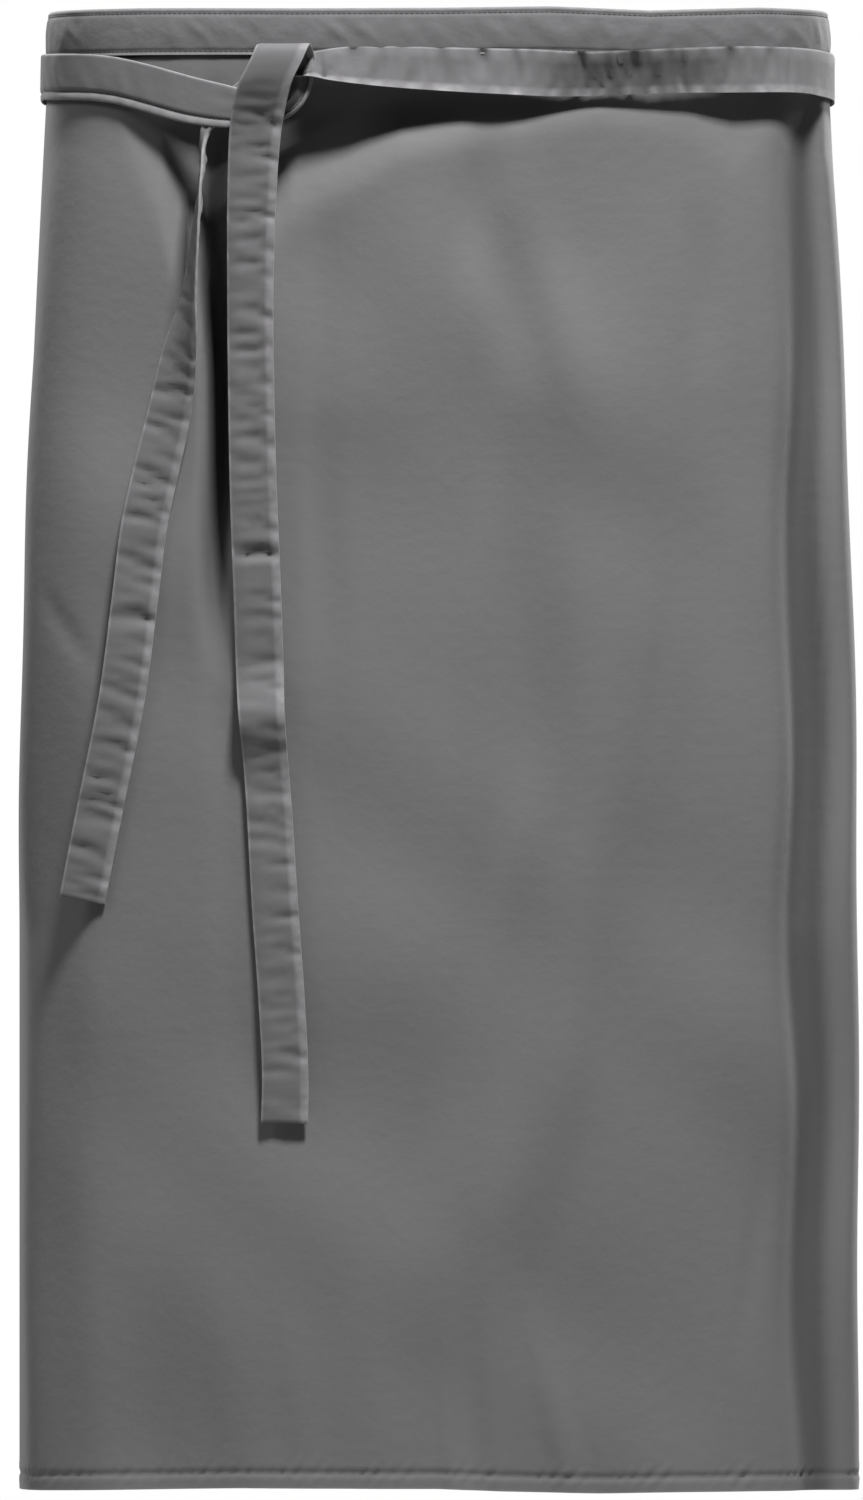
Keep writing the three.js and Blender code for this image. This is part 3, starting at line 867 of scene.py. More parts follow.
    def _relief(self, tree: bpy.types.NodeTree, cloth: Socket, weave: Socket) -> Socket:
        """Bumps of the crumpled cloth and, on them, of its weave.

        Args:
            tree: The material's nodes.
            cloth: Position on the flat cloth.
            weave: The weave, from 0 to 1.

        Returns:
            The bent normal.
        """
        crumple = tree.nodes.new("ShaderNodeBump")
        crumple.inputs["Strength"].default_value = 1.0
        crumple.inputs["Distance"].default_value = self.crumple_height
        rough = self._noise(tree, cloth, self.crumple_scale, self.SOFT_DETAIL)
        tree.links.new(rough, crumple.inputs["Height"])
        fine = tree.nodes.new("ShaderNodeBump")
        fine.inputs["Strength"].default_value = 1.0
        fine.inputs["Distance"].default_value = self.weave_height
        tree.links.new(weave, fine.inputs["Height"])
        tree.links.new(crumple.outputs["Normal"], fine.inputs["Normal"])
        return fine.outputs["Normal"]


@dataclass(frozen=True)
class ThreadFinish:
    """Sewing thread: matt, a little darker than the cloth, with its twist."""

    name: str = "sewing_thread"
    colour: tuple[float, float, float] = (0.032, 0.031, 0.032)
    roughness: float = 0.7
    sheen: float = 0.1
    twist_scale: float = 900.0
    twist_height: float = 0.05 * MM
    tones: tuple[float, float] = (0.8, 1.3)

    def material(self) -> bpy.types.Material:
        """Builds the material's nodes.

        Returns:
            The new material.
        """
        material = bpy.data.materials.new(self.name)
        material.use_nodes = True
        tree = material.node_tree
        shader = tree.nodes["Principled BSDF"]
        shader.inputs["Roughness"].default_value = self.roughness
        shader.inputs["Sheen Weight"].default_value = self.sheen
        place = tree.nodes.new("ShaderNodeTexCoord")
        noise = tree.nodes.new("ShaderNodeTexNoise")
        noise.inputs["Scale"].default_value = self.twist_scale
        tree.links.new(place.outputs["Object"], noise.inputs["Vector"])
        ramp = tree.nodes.new("ShaderNodeValToRGB")
        for element, tone in zip(ramp.color_ramp.elements, self.tones):
            element.color = (*(tone * part for part in self.colour), 1.0)
        tree.links.new(noise.outputs["Fac"], ramp.inputs["Fac"])
        tree.links.new(ramp.outputs["Color"], shader.inputs["Base Color"])
        bump = tree.nodes.new("ShaderNodeBump")
        bump.inputs["Distance"].default_value = self.twist_height
        tree.links.new(noise.outputs["Fac"], bump.inputs["Height"])
        tree.links.new(bump.outputs["Normal"], shader.inputs["Normal"])
        return material


@dataclass
class Seams:
    """Rows of stitches, one joined mesh for each row."""

    material: bpy.types.Material
    pitch: float = 2.8 * MM
    stitch: float = 2.1 * MM
    thick: float = 0.55 * MM
    sunk: float = 0.10 * MM
    segments: int = 6
    rings: int = 4

    def row(self, name: str, path: Array, outwards: Array, slot: Slot) -> bpy.types.Object:
        """Lays stitches along a path on the cloth.

        Args:
            name: Name of the piece.
            path: Points on the cloth's surface, close together.
            outwards: Direction out of the cloth at each point.
            slot: The record's slot of the cloth that it is sewn on.

        Returns:
            The joined mesh of the row.
        """
        run = run_along(path)
        middles = np.arange(self.pitch / 2, run[-1], self.pitch)
        ahead = rows_at(middles + self.stitch / 2, run, path)
        behind = rows_at(middles - self.stitch / 2, run, path)
        out = unit(rows_at(middles, run, outwards))
        along = unit(ahead - behind)
        side = unit(np.cross(out, along))
        out = np.cross(along, side)
        centre = (ahead + behind) / 2 + out * (self.thick / 2 - self.sunk)
        one, faces = self._stitch()
        places = (
            centre[:, None, :]
            + along[:, None, :] * one[None, :, 0:1]
            + side[:, None, :] * one[None, :, 1:2]
            + out[:, None, :] * one[None, :, 2:3]
        )
        starts = range(0, len(centre) * len(one), len(one))
        every = [[corner + start for corner in face] for start in starts for face in faces]
        mesh = bpy.data.meshes.new(name)
        mesh.from_pydata(places.reshape(-1, 3).tolist(), [], every)
        mesh.update()
        piece = bpy.data.objects.new(name, mesh)
        bpy.context.scene.collection.objects.link(piece)
        Workshop.finish(piece, self.material, slot)
        return piece

    def _stitch(self) -> tuple[Array, list[list[int]]]:
        """Vertices and faces of one stitch that lies along X.

        Returns:
            The places of the vertices and the vertices of each face.
        """
        bpy.ops.object.select_all(action="DESELECT")
        bpy.ops.mesh.primitive_uv_sphere_add(segments=self.segments, ring_count=self.rings, radius=0.5)
        model = bpy.context.active_object
        flat = np.empty(len(model.data.vertices) * 3)
        model.data.vertices.foreach_get("co", flat)
        ball = flat.reshape(-1, 3)
        places = ball[:, [2, 0, 1]] * np.array([self.stitch, self.thick, self.thick])
        faces = [list(polygon.vertices) for polygon in model.data.polygons]
        bpy.data.objects.remove(model)
        return places, faces


@dataclass
class SkirtPanel:
    """The sheet that hangs from the waist, with its turned hems."""

    cloth: Cloth
    finish: TwillFinish
    wall: float = 0.9 * MM
    gap: float = 0.3 * MM
    band_wall: float = 1.0 * MM
    hem_height: float = HEM_HEIGHT
    columns: int = 336
    rows: int = 144
    hem_rows: int = 8
    side_hem_grid: tuple[int, int] = (6, 120)
    side_hem_top: float = 25.5 * MM
    front_half: float = 0.275
    front_share: float = 0.72
    top_share: float = 0.10
    top_zone: float = 0.06
    hem_share: float = 0.86
    hem_zone: float = 0.028
    edge_wear: float = 1.6 * MM

    def lengths(self, share: Array) -> Array:
        """Running lengths of the columns, closer together on the front.

        Args:
            share: Shares from 0 to 1 along the panel.

        Returns:
            Running lengths from the centre front.
        """
        half_cut = self.cloth.form.cut_width / 2
        away = np.abs(share - 0.5) * 2
        length = np.interp(away, [0.0, self.front_share, 1.0], [0.0, self.front_half, half_cut])
        return np.sign(share - 0.5) * length

    def drops(self, share: Array) -> Array:
        """Drops of the rows, closer together near the band and the hem.

        Args:
            share: Shares from 0 at the top to 1 at the hem.

        Returns:
            Drops below the top edge.
        """
        top = self.band_wall + self.gap
        end = self.cloth.form.length
        shares = [0.0, self.top_share, self.hem_share, 1.0]
        return np.interp(share, shares, [top, self.top_zone, end - self.hem_zone, end])

    def build(self) -> bpy.types.Object:
        """Builds the panel.

        Returns:
            The finished piece.
        """
        piece = Workshop.grid("skirt_panel_cloth", self.columns, self.rows)
        across, down = Workshop.shares(piece)
        length = self.lengths(across)
        drop = self.drops(1 - down)
        Workshop.shape(piece, self.cloth.point(length, drop, 0.0), np.stack([length, -drop], axis=1))
        edge = smoothstep(self.cloth.form.length - self.edge_wear, self.cloth.form.length, drop)
        Workshop.attribute(piece, "worn_and_highlit", edge)
        # painted shade that darkens the cloth's colour in the narrow folds
        Workshop.attribute(piece, "painted_fold_shade", self.cloth.fold_shade_share(length, drop))
        Workshop.give_wall(piece, self.wall)
        Workshop.finish(piece, self.finish.material(), Slot.SKIRT)
        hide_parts("skirt_panel")
        return piece

    def _turn_in(
        self, piece: bpy.types.Object, length: Array, drop: Array, inwards: bool = True
    ) -> None:
        """Lays a turned hem against the panel's inner face and gives it its thickness.

        Args:
            piece: The grid of the hem.
            length: Running lengths from the centre front.
            drop: Drops below the top edge.
            inwards: Whether the wall grows against the faces' direction.
        """
        outside = -self.wall - self.gap / 2
        Workshop.shape(piece, self.cloth.point(length, drop, outside), np.stack([length, drop], axis=1))
        Workshop.give_wall(piece, self.wall, inwards)

    def build_bottom_hem(self) -> bpy.types.Object:
        """Builds the cloth turned up inside along the bottom edge.

        Returns:
            The finished piece.
        """
        piece = Workshop.grid("bottom_hem_cloth", self.columns, self.hem_rows)
        across, down = Workshop.shares(piece)
        length = self.lengths(across)
        drop = self.cloth.form.length - self.hem_height * down
        self._turn_in(piece, length, drop)
        Workshop.finish(piece, replace(self.finish, name="hem_twill").material(), Slot.SKIRT)
        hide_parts("bottom_hem")
        return piece

    def build_side_hem(self, side: Side) -> bpy.types.Object:
        """Builds the narrow turned edge up one back edge of the panel.

        Args:
            side: Side of the apron.

        Returns:
            The finished piece.
        """
        name = f"side_hem_{side.name.lower()}"
        piece = Workshop.grid(f"{name}_cloth", *self.side_hem_grid)
        across, down = Workshop.shares(piece)
        half_cut = self.cloth.form.cut_width / 2
        length = side.value * (half_cut - self.hem_height * across)
        bottom = self.cloth.form.length - self.hem_height - self.gap
        drop = np.interp(1 - down, [0, 1], [self.side_hem_top, bottom])
        self._turn_in(piece, length, drop, inwards=side is Side.LEFT)
        Workshop.face_out(piece)
        Workshop.finish(piece, replace(self.finish, name=f"{name}_twill").material(), Slot.SKIRT)
        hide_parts(name)
        return piece


@dataclass(frozen=True)
class Wrinkles:
    """Short creases across a strip, with seeded places, leans and heights."""

    seed: int
    start: float
    end: float
    spacing: float
    height: float
    spread: float
    lean: float
    lean_spread: float = 0.5

    # Ranges of the shares that chance gives, the strip's half width and the creases' own bend
    HEIGHTS = (0.35, 1.0)
    SPREADS = (0.7, 1.3)
    MIDDLES = (-0.7, 0.7)
    REACHES = (0.7, 1.5)
    SPACINGS = (0.6, 1.4)
    HALF_WIDTH = 12.5 * MM
    BEND = 1.5 * MM
    BEND_TURN = 3.0

    def offset(self, along: Array, across: Array) -> Array:
        """Outward offset at distances along the strip and shares from -1 to 1 across it.

        Args:
            along: Distances along the strip.
            across: Shares of the half width, from -1 to 1.

        Returns:
            Offsets in metres.
        """
        chance = np.random.default_rng(self.seed)
        total = np.zeros_like(along)
        place = self.start
        while place < self.end:
            lean = self.lean + self.lean_spread * chance.uniform(-1, 1)
            height = self.height * chance.uniform(*self.HEIGHTS)
            spread = self.spread * chance.uniform(*self.SPREADS)
            middle = chance.uniform(*self.MIDDLES)
            reach = chance.uniform(*self.REACHES)
            bend = self.BEND * np.sin(self.BEND_TURN * across + middle)
            line = place + lean * self.HALF_WIDTH * across + bend
            window = np.exp(-(((across - middle) / reach) ** 2))
            total = total + height * window * np.exp(-(((along - line) / spread) ** 2))
            place += self.spacing * chance.uniform(*self.SPACINGS)
        fade_in = smoothstep(0, self.spacing, along - self.start)
        fade_out = smoothstep(0, self.spacing, self.end - along)
        return total * fade_in * fade_out


@dataclass
class Waistband:
    """The strip folded over the top edge of the panel, stitched below and topstitched above."""

    cloth: Cloth
    finish: TwillFinish
    seams: Seams
    height: float = BAND_HEIGHT
    wall: float = 0.8 * MM
    front: float = 1.3 * MM
    back: float = -2.3 * MM
    top_stitch: float = 3.0 * MM
    low_stitch: float = 23.2 * MM
    stitch_ends: float = 3.0 * MM
    stitch_samples: int = 900
    groove: float = 0.6 * MM
    groove_reach: float = 0.9 * MM
    swell_height: float = 0.35 * MM
    edge_radius: float = 2.0 * MM
    edge_wear: tuple[float, float] = (0.4 * MM, 1.6 * MM)
    creases: Wrinkles = Wrinkles(11, -0.30, 0.30, 0.012, 0.9 * MM, 0.0045, 0.15, 0.9)
    crease_share: float = 0.35
    columns: int = 420
    front_rows: int = 24
    turn_rows: int = 9
    back_rows: int = 14

    def profile(self) -> Array:
        """Outer skin of the strip, from the front's lower edge over the top to the back's lower edge.

        Returns:
            Rows of a drop and a distance outside the panel's face.
        """
        radius = self.edge_radius
        half = (self.front - self.back) / 2
        middle = (self.front + self.back) / 2
        front = [(drop, self.front) for drop in np.linspace(self.height, radius, self.front_rows)]
        turn = np.linspace(0, math.pi, self.turn_rows)[1:-1]
        over = [(radius - radius * math.sin(angle), middle + half * math.cos(angle)) for angle in turn]
        back = [(drop, self.back) for drop in np.linspace(radius, self.height, self.back_rows)]
        return np.array(front + over + back)

    def outside(self, length: Array, drop: Array, outside: Array) -> Array:
        """Outside distance with the grooves of the stitch lines and the soft waves of the strip.

        Args:
            length: Running lengths from the centre front.
            drop: Drops below the top edge.
            outside: Distances of the plain skin outside the panel's face.

        Returns:
            The distances of the finished skin.
        """
        on_front = outside > 0
        lines = (self.top_stitch, self.low_stitch)
        grooves = sum(np.exp(-(((drop - line) / self.groove_reach) ** 2)) for line in lines)
        ripples = self.ripples(length, drop)
        swell = self.swell_height * np.sin(np.clip(drop / self.height, 0, 1) * math.pi)
        return outside + np.where(on_front, swell + ripples - self.groove * grooves, 0.0)

    def ripples(self, length: Array, drop: Array) -> Array:
        """Soft creases that run down the strip.

        Args:
            length: Running lengths from the centre front.
            drop: Drops below the top edge.

        Returns:
            Offsets in metres.
        """
        across = drop / self.height * 2 - 1
        window = self.crease_share + (1 - self.crease_share) * np.cos(across * math.pi / 2) ** 2
        return self.creases.offset(length, across) * window

    def build(self) -> bpy.types.Object:
        """Builds the strip, without its stitches.

        Returns:
            The finished strip.
        """
        profile = self.profile()
        piece = Workshop.grid("waistband_cloth", self.columns, len(profile) - 1)
        along, around = Workshop.shares(piece)
        half_cut = self.cloth.form.cut_width / 2
        length = (along * 2 - 1) * half_cut
        place = around * (len(profile) - 1)
        number = np.arange(len(profile))
        drop = np.interp(place, number, profile[:, 0])
        outside = np.interp(place, number, profile[:, 1])
        around_m = np.interp(place, number, run_along(profile))
        where = self.cloth.point(length, drop, self.outside(length, drop, outside))
        Workshop.shape(piece, where, np.stack([length, around_m], axis=1))
        edge = 1 - smoothstep(*self.edge_wear, np.minimum(drop, self.height - drop))
        Workshop.attribute(piece, "worn_and_highlit", edge)
        Workshop.give_wall(piece, self.wall)
        Workshop.face_out(piece)
        Workshop.finish(piece, self.finish.material(), Slot.BAND)
        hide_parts("waistband")
        return piece

    def build_stitches(self) -> list[bpy.types.Object]:
        """Sews the two rows of stitches on the front.

        Returns:
            The finished rows.
        """
        half_cut = self.cloth.form.cut_width / 2 - self.stitch_ends
        length = np.linspace(-half_cut, half_cut, self.stitch_samples)
        rows = []
        for edge, line in (("top", self.top_stitch), ("low", self.low_stitch)):
            name = f"waistband_{edge}_stitches"
            drop = np.full_like(length, line)
            outside = self.outside(length, drop, np.full_like(length, self.front))
            path = self.cloth.point(length, drop, outside)
            rows.append(self.seams.row(name, path, self.cloth.form.normal(length, drop), Slot.BAND))
        return rows


@dataclass
class TieRoute:
    """Stations of a tie: length, drop, outside, width, lean, square and roll of each."""

    rows: list[tuple[float, ...]]

    POINTS_PER_STEP = 4
    FEWEST_POINTS = 4

    def sampled(self, step: float) -> Array:
        """Stations at even steps on a centripetal curve through the rows.

        Args:
            step: Distance between stations.

        Returns:
            One row of seven values for each station.
        """
        rows = np.array(self.rows)
        every = np.vstack([2 * rows[0] - rows[1], rows, 2 * rows[-1] - rows[-2]])
        gaps = np.linalg.norm(np.diff(every[:, :3], axis=0), axis=1) ** 0.5
        fine = []
        for number in range(len(rows) - 1):
            p0, p1, p2, p3 = every[number:number + 4]
            g0, g1, g2 = gaps[number:number + 3]
            t1 = ((p1 - p0) / g0 - (p2 - p0) / (g0 + g1) + (p2 - p1) / g1) * g1
            t2 = ((p2 - p1) / g1 - (p3 - p1) / (g1 + g2) + (p3 - p2) / g2) * g1
            gap = np.linalg.norm((p2 - p1)[:3])
            count = max(self.FEWEST_POINTS, math.ceil(gap / (step / self.POINTS_PER_STEP)))
            share = (np.arange(count) / count)[:, None]
            second = -3 * p1 + 3 * p2 - 2 * t1 - t2
            third = 2 * p1 - 2 * p2 + t1 + t2
            fine.append(p1 + t1 * share + second * share**2 + third * share**3)
        fine.append(rows[-1:])
        dense = np.vstack(fine)
        run = run_along(dense[:, :3])
        spots = np.linspace(0, run[-1], math.ceil(run[-1] / step) + 1)
        return rows_at(spots, run, dense)


# Rows of a tie round the waist: around as a share of the half girth from the centre front, below in
# band heights under the top edge, layer in tie layers out from the cloth and, where a row has it,
# roll in degrees
LONG_END_ROUND_WAIST = (
    (0.94, 0.54, 0.6), (0.955, 0.66, 1.1), (1.0, 1.16, 1.2), (1.045, 1.62, 1.1), (1.08, 1.86, 0.3),
    (1.18, 1.82, 0.0), (1.34, 1.58, 0.0), (1.5, 1.42, 0.0), (1.58, 1.42, 0.0), (1.67, 1.52, 0.0),
)
SHORT_END_ROUND_WAIST = (
    (-1.0, 1.16, 0.0), (-1.08, 1.92, 0.0), (-1.18, 1.86, 0.0), (-1.34, 1.6, 0.0), (-1.5, 1.44, 0.0),
    (-1.58, 1.36, 0.0), (-1.64, 1.3, 0.9, 10), (-1.76, 1.34, 1.8, -17), (-1.86, 1.42, 1.0, -17),
    (-1.92, 1.38, 0.8, 4),
)

# Rows through the knot: right and below in tie widths from its centre, layer, share of the slack
# knot's stand-off, width as a share of the tie's, lean of the width from down (90) to across (0),
# square, 0 where it is folded aslant, and, where a row has it, roll in degrees
LONG_END_KNOT = (
    (-1.9, 0.56, 1.0, 0.1, 1.0, 90, 1.0), (-1.0, 0.72, 1.1, 0.22, 0.85, 90, 1.0),
    (-0.5, 0.79, 0.65, 0.22, 0.54, 90, 1.0), (-0.1, 0.74, 0.05, 0.12, 0.48, 84, 1.0),
    (0.2, 0.5, 0.0, 0.08, 0.48, 42, 1.0), (0.28, 0.16, 0.0, 0.06, 0.62, 5, 1.0),
    (0.22, -0.15, 0.0, 0.1, 0.9, 0, 0.4), (0.1, -0.42, 0.1, 0.2, 1.08, 0, 0.0),
    (0.04, -0.58, 0.4, 0.5, 1.12, 0, 0.0), (0.01, -0.65, 1.1, 0.8, 1.14, 0, 0.0),
    (-0.02, -0.58, 1.8, 1.02, 1.14, 0, 0.0), (-0.08, -0.42, 2.0, 1.08, 1.14, 0, 0.0),
    (-0.19, -0.18, 2.2, 1.06, 1.14, 0, 0.0), (-0.34, 0.12, 2.4, 0.95, 1.14, 0, 0.0),
    (-0.47, 0.54, 2.7, 0.68, 1.14, 0, 0.3), (-0.59, 1.19, 3.2, 0.28, 1.12, 0, 1.0),
)
SHORT_END_KNOT = (
    (3.9, -0.1, 0.1, 0.0, 0.97, 90, 1.0, 6), (2.2, -0.18, 0.2, 0.0, 0.9, 90, 1.0, 9),
    (1.1, -0.22, 0.5, 0.05, 0.76, 90, 1.0, 16), (0.3, -0.2, 1.1, 0.1, 0.5, 90, 1.0, 24),
    (-0.3, -0.04, 0.85, 0.14, 0.42, 82, 1.0), (-0.86, 0.3, 0.0, 0.16, 0.42, 55, 1.0),
    (-1.4, 0.8, 0.0, 0.2, 0.4, 36, 1.0), (-1.7, 1.2, 0.1, 0.28, 0.3, 18, 1.0, 40),
)

# Rows of a hanging end: down as a share of its length, right and out in tie widths, roll in degrees
# and width as a share of the tie's
LONG_END_HANG = (
    (0.119, -0.68, 0.45, 0, 1.06), (0.214, -0.72, 0.37, 0, 1.0), (0.3, -0.71, 0.31, 0, 1.0),
    (0.4, -0.67, 0.23, 0, 1.02), (0.5, -0.59, 0.16, 0, 1.03), (0.572, -0.54, 0.13, 0, 1.03),
    (0.612, -0.48, 0.40, 0, 1.0), (0.66, -0.41, 0.15, 0, 0.97), (0.7, -0.34, 0.17, 0, 0.98),
    (0.79, -0.22, 0.18, 0, 1.0), (0.88, -0.08, 0.16, 0, 1.0),
    (0.955, 0.0, 0.15, 0, 1.0), (1.0, -0.02, 0.12, 0, 1.02),
)
SHORT_END_HANG = (
    (0.084, -1.74, 0.28, 70, 0.42), (0.112, -1.74, 0.36, 78, 0.62), (0.151, -1.80, 0.42, 74, 0.88),
    (0.212, -1.90, 0.42, 68, 1.0), (0.272, -2.02, 0.38, 58, 1.0), (0.324, -2.17, 0.32, 34, 1.0),
    (0.402, -2.42, 0.2, 6, 1.0), (0.479, -2.72, 0.22, -8, 1.0), (0.548, -2.96, 0.26, -16, 1.0),
    (0.635, -3.14, 0.27, -19, 1.0), (0.756, -3.4, 0.28, -21, 1.0), (0.877, -3.78, 0.28, -24, 1.0),
    (0.95, -4.0, 0.28, -25, 1.0), (1.0, -4.14, 0.28, -26, 1.0),
)

# Creases of each tie. The long end has slight ones round the waist and stronger ones on the upper and
# the lower part of its hanging end. The short end has slight ones round the waist, strong ones on
# the strip that comes to the knot and others on its hanging end
LONG_END_WRINKLES = (
    Wrinkles(3, 0.02, 0.60, 0.016, 0.6 * MM, 0.005, 0.2),
    Wrinkles(5, 0.61, 0.88, 0.0105, 2.1 * MM, 0.0030, 1.0),
    Wrinkles(6, 0.84, 1.30, 0.0115, 1.9 * MM, 0.0030, 0.5),
)
SHORT_END_WRINKLES = (
    Wrinkles(7, 0.02, 0.46, 0.016, 0.45 * MM, 0.005, 0.2),
    Wrinkles(8, 0.42, 0.72, 0.0085, 3.2 * MM, 0.0026, 0.1),
    Wrinkles(9, 0.68, 1.30, 0.0105, 2.0 * MM, 0.0028, 0.3),
)


@dataclass
class Tie:
    """A flat tie: from its lap on the band's end, round the waist, through the knot, to a free end."""

    name: str
    cloth: Cloth
    finish: TwillFinish
    seams: Seams
    side: Side
    round_waist: Rows
    knot: Rows
    hang: Rows
    end_length: float
    wrinkles: tuple[Wrinkles, ...]
    width: float = TIE_WIDTH
    wall: float = 1.5 * MM
    lap: float = 25.0 * MM
    hem_length: float = 12.0 * MM
    band_height: float = BAND_HEIGHT
    knot_left: float = 82.0 * MM
    knot_drop: float = 36.0 * MM
    knot_stand_off: float = 12.5 * MM
    first_layer: float = 2.8 * MM
    layer_pitch: float = 2.3 * MM
    step: float = 1.5 * MM
    stitch_inset: float = 4.6 * MM
    end_stitches: tuple[float, float] = (8.5 * MM, 11.0 * MM)
    groove: float = 0.9 * MM
    groove_reach: float = 0.8 * MM
    # lightening between the seam and the edge, from wear and a painted highlight
    rim_wear_and_highlight: float = 0.6

    # Stations that are averaged for the tie's places and for its turning
    PLACE_WINDOW = 3
    TURN_WINDOW = 9

    # Rows along the front of the strip: plain ones, those round the seam and those at the rim, as
    # shares of the half width, and where the rim starts to round off
    PLAIN_ROWS = (-0.985, -0.95, -0.88, -0.72, -0.56, -0.4, -0.2, 0.0, 0.2, 0.4)
    SEAM_ROWS = (-0.10, -0.05, 0.0, 0.05, 0.10)
    RIM_ROWS = (0.88, 0.95, 0.985)
    ROUNDED_FROM = 0.94
    BACK_RIM_LEVEL = -0.75
    FRONT_ROWS_TO_A_BACK_ROW = 3

    # The free end's thicker hem and rounded edge, the pleats where the knot gathers the strip, and
    # how flat the creases are at the edges
    HEM_EXTRA = 0.5
    HEM_STEP = 1.2 * MM
    END_THINNING = 0.55
    END_ROUND = 1.0 * MM
    PLEAT_HEIGHT = 1.8 * MM
    PLEATS = 1.25
    EDGE_POWER = 6

    # Shares of the half width past the seam and at the edges over which wear and a painted highlight set
    # in, and how far the stitches across the end reach
    RIM_LIGHTENING = (0.02, 0.10)
    EDGE_LIGHTENING = 0.90
    END_STITCH_REACH = 0.92
    END_STITCH_POINTS = 12

    @property
    def seam(self) -> float:
        """Share of the half width at which the edge is stitched."""
        return 1 - self.stitch_inset / (self.width / 2)

    def route(self) -> TieRoute:
        """Stations of the tie, from the lap to the free end.

        Returns:
            The route with all its rows.
        """
        form = self.cloth.form
        sign = self.side.value
        half_girth = form.waist.girth / 2
        band_end = sign * form.cut_width / 2
        rows = [(length, self.band_height / 2, self.first_layer, 1.0, 90.0, 1.0, 0.0)
                for length in (band_end - sign * self.lap, band_end)]
        # a row's roll is a list of one number, or an empty one, whose sum is 0
        for around, below, layer, *roll in self.round_waist:
            out = self.first_layer + layer * self.layer_pitch
            rows.append((around * half_girth, below * self.band_height, out, 1.0, 90.0, 1.0, sum(roll)))
        base = sign * form.waist.girth
        for right, below, layer, lift, width, lean, square, *roll in self.knot:
            length = base + self.across(right)
            drop = self.knot_drop + below * self.width
            out = self.first_layer + layer * self.layer_pitch + lift * self.knot_stand_off
            rows.append((length, drop, out, width, lean, square, sum(roll)))
        for down, right, out, roll, width in self.hang:
            drop = self.knot_drop + down * self.end_length
            rows.append((base + self.across(right), drop, out * self.width, width, 0.0, 1.0, roll))
        return TieRoute(rows)

    def across(self, right: float) -> float:
        """Running length of a place beside the knot's centre."""
        form = self.cloth.form
        return float(form.across((right * self.width - self.knot_left) / form.waist_half_width))

    def frames(self) -> dict[str, Array]:
        """Places and directions along the tie, at even steps.

        Returns:
            The places, the directions across and out, the widths and the distances run.
        """
        stations = self.route().sampled(self.step)
        length, drop, outside, width, lean, square, roll = stations.T
        form = self.cloth.form
        normal = form.normal(length, drop)
        across = np.stack([-normal[:, 1], normal[:, 0], np.zeros(len(normal))], axis=1)
        down = np.array([0.0, 0.0, -1.0])
        place = form.plain(length, drop) + normal * outside[:, None]
        place = softened(place, self.PLACE_WINDOW)
        along = unit(np.gradient(place, axis=0))
        lean_rad = np.radians(lean)[:, None]
        wide = across * np.cos(lean_rad) + down * np.sin(lean_rad)
        flat = unit(wide - along * dot(wide, along) * np.clip(square, 0, 1)[:, None])
        lift = normal - along * dot(normal, along)
        lift = unit(lift - flat * dot(lift, flat))
        roll_rad = np.radians(roll)[:, None]
        wide = unit(softened(flat * np.cos(roll_rad) + lift * np.sin(roll_rad), self.TURN_WINDOW))
        thick = unit(np.cross(wide, along))
        return {"place": place, "wide": wide, "thick": thick, "width": width, "run": run_along(place)}

    def ring(self) -> tuple[Array, Array]:
        """Shares across the width and shares of the half thickness of the points round the strip.

        Returns:
            The shares across and the shares of the half thickness.
        """
        seam_rows = [self.seam + row for row in self.SEAM_ROWS]
        front = np.array([*self.PLAIN_ROWS, *seam_rows, *self.RIM_ROWS])
        beyond = ((np.abs(front) - self.ROUNDED_FROM) / (1 - self.ROUNDED_FROM)).clip(0)
        level = np.sqrt(np.maximum(0.0, 1 - beyond**2))
        back = front[::-self.FRONT_ROWS_TO_A_BACK_ROW]
        back_level = np.where(np.abs(back) > self.ROUNDED_FROM, self.BACK_RIM_LEVEL, -1.0)
        across = np.concatenate([[-1.0], front, [1.0], back, [-1.0]])
        height = np.concatenate([[0.0], level, [0.0], back_level, [0.0]])
        return across, height

    def surface(self, frames: dict[str, Array], across: Array, height: Array) -> Array:
        """Points of the strip at every station and for every place across it.

        Args:
            frames: Places and directions along the tie.
            across: Shares of the half width.
            height: Shares of the half thickness.

        Returns:
            An array of stations by places by coordinates.
        """
        run = frames["run"][:, None]
        end = run[-1] - run
        hem_start = self.hem_length - self.HEM_STEP
        hem = 1 + self.HEM_EXTRA * (1 - smoothstep(hem_start, self.hem_length, end))
        rounded = 1 - self.END_THINNING * (1 - smoothstep(0, self.END_ROUND, end))
        half_wall = self.wall / 2 * hem * rounded
        on_front = (height > 0)[None, :]
        from_seam = (across[None, :] - self.seam) * self.width / 2
        groove = np.exp(-((from_seam / self.groove_reach) ** 2)) * on_front
        where = np.broadcast_to(across[None, :], (len(run), len(across)))
        along = np.broadcast_to(run, where.shape)
        creases = sum(wrinkle.offset(along, where) for wrinkle in self.wrinkles)
        flatness = 1 - np.abs(where) ** self.EDGE_POWER
        gathered = np.clip(1 - frames["width"], 0, 1)[:, None]
        pleats = self.PLEAT_HEIGHT * gathered * np.cos(where * self.PLEATS * TURN)
        lift = (creases + pleats) * flatness + height[None, :] * half_wall - self.groove * groove
        half_width = (frames["width"] * self.width / 2)[:, None]
        return (
            frames["place"][:, None, :]
            + frames["wide"][:, None, :] * (where * half_width)[..., None]
            + frames["thick"][:, None, :] * lift[..., None]
        )

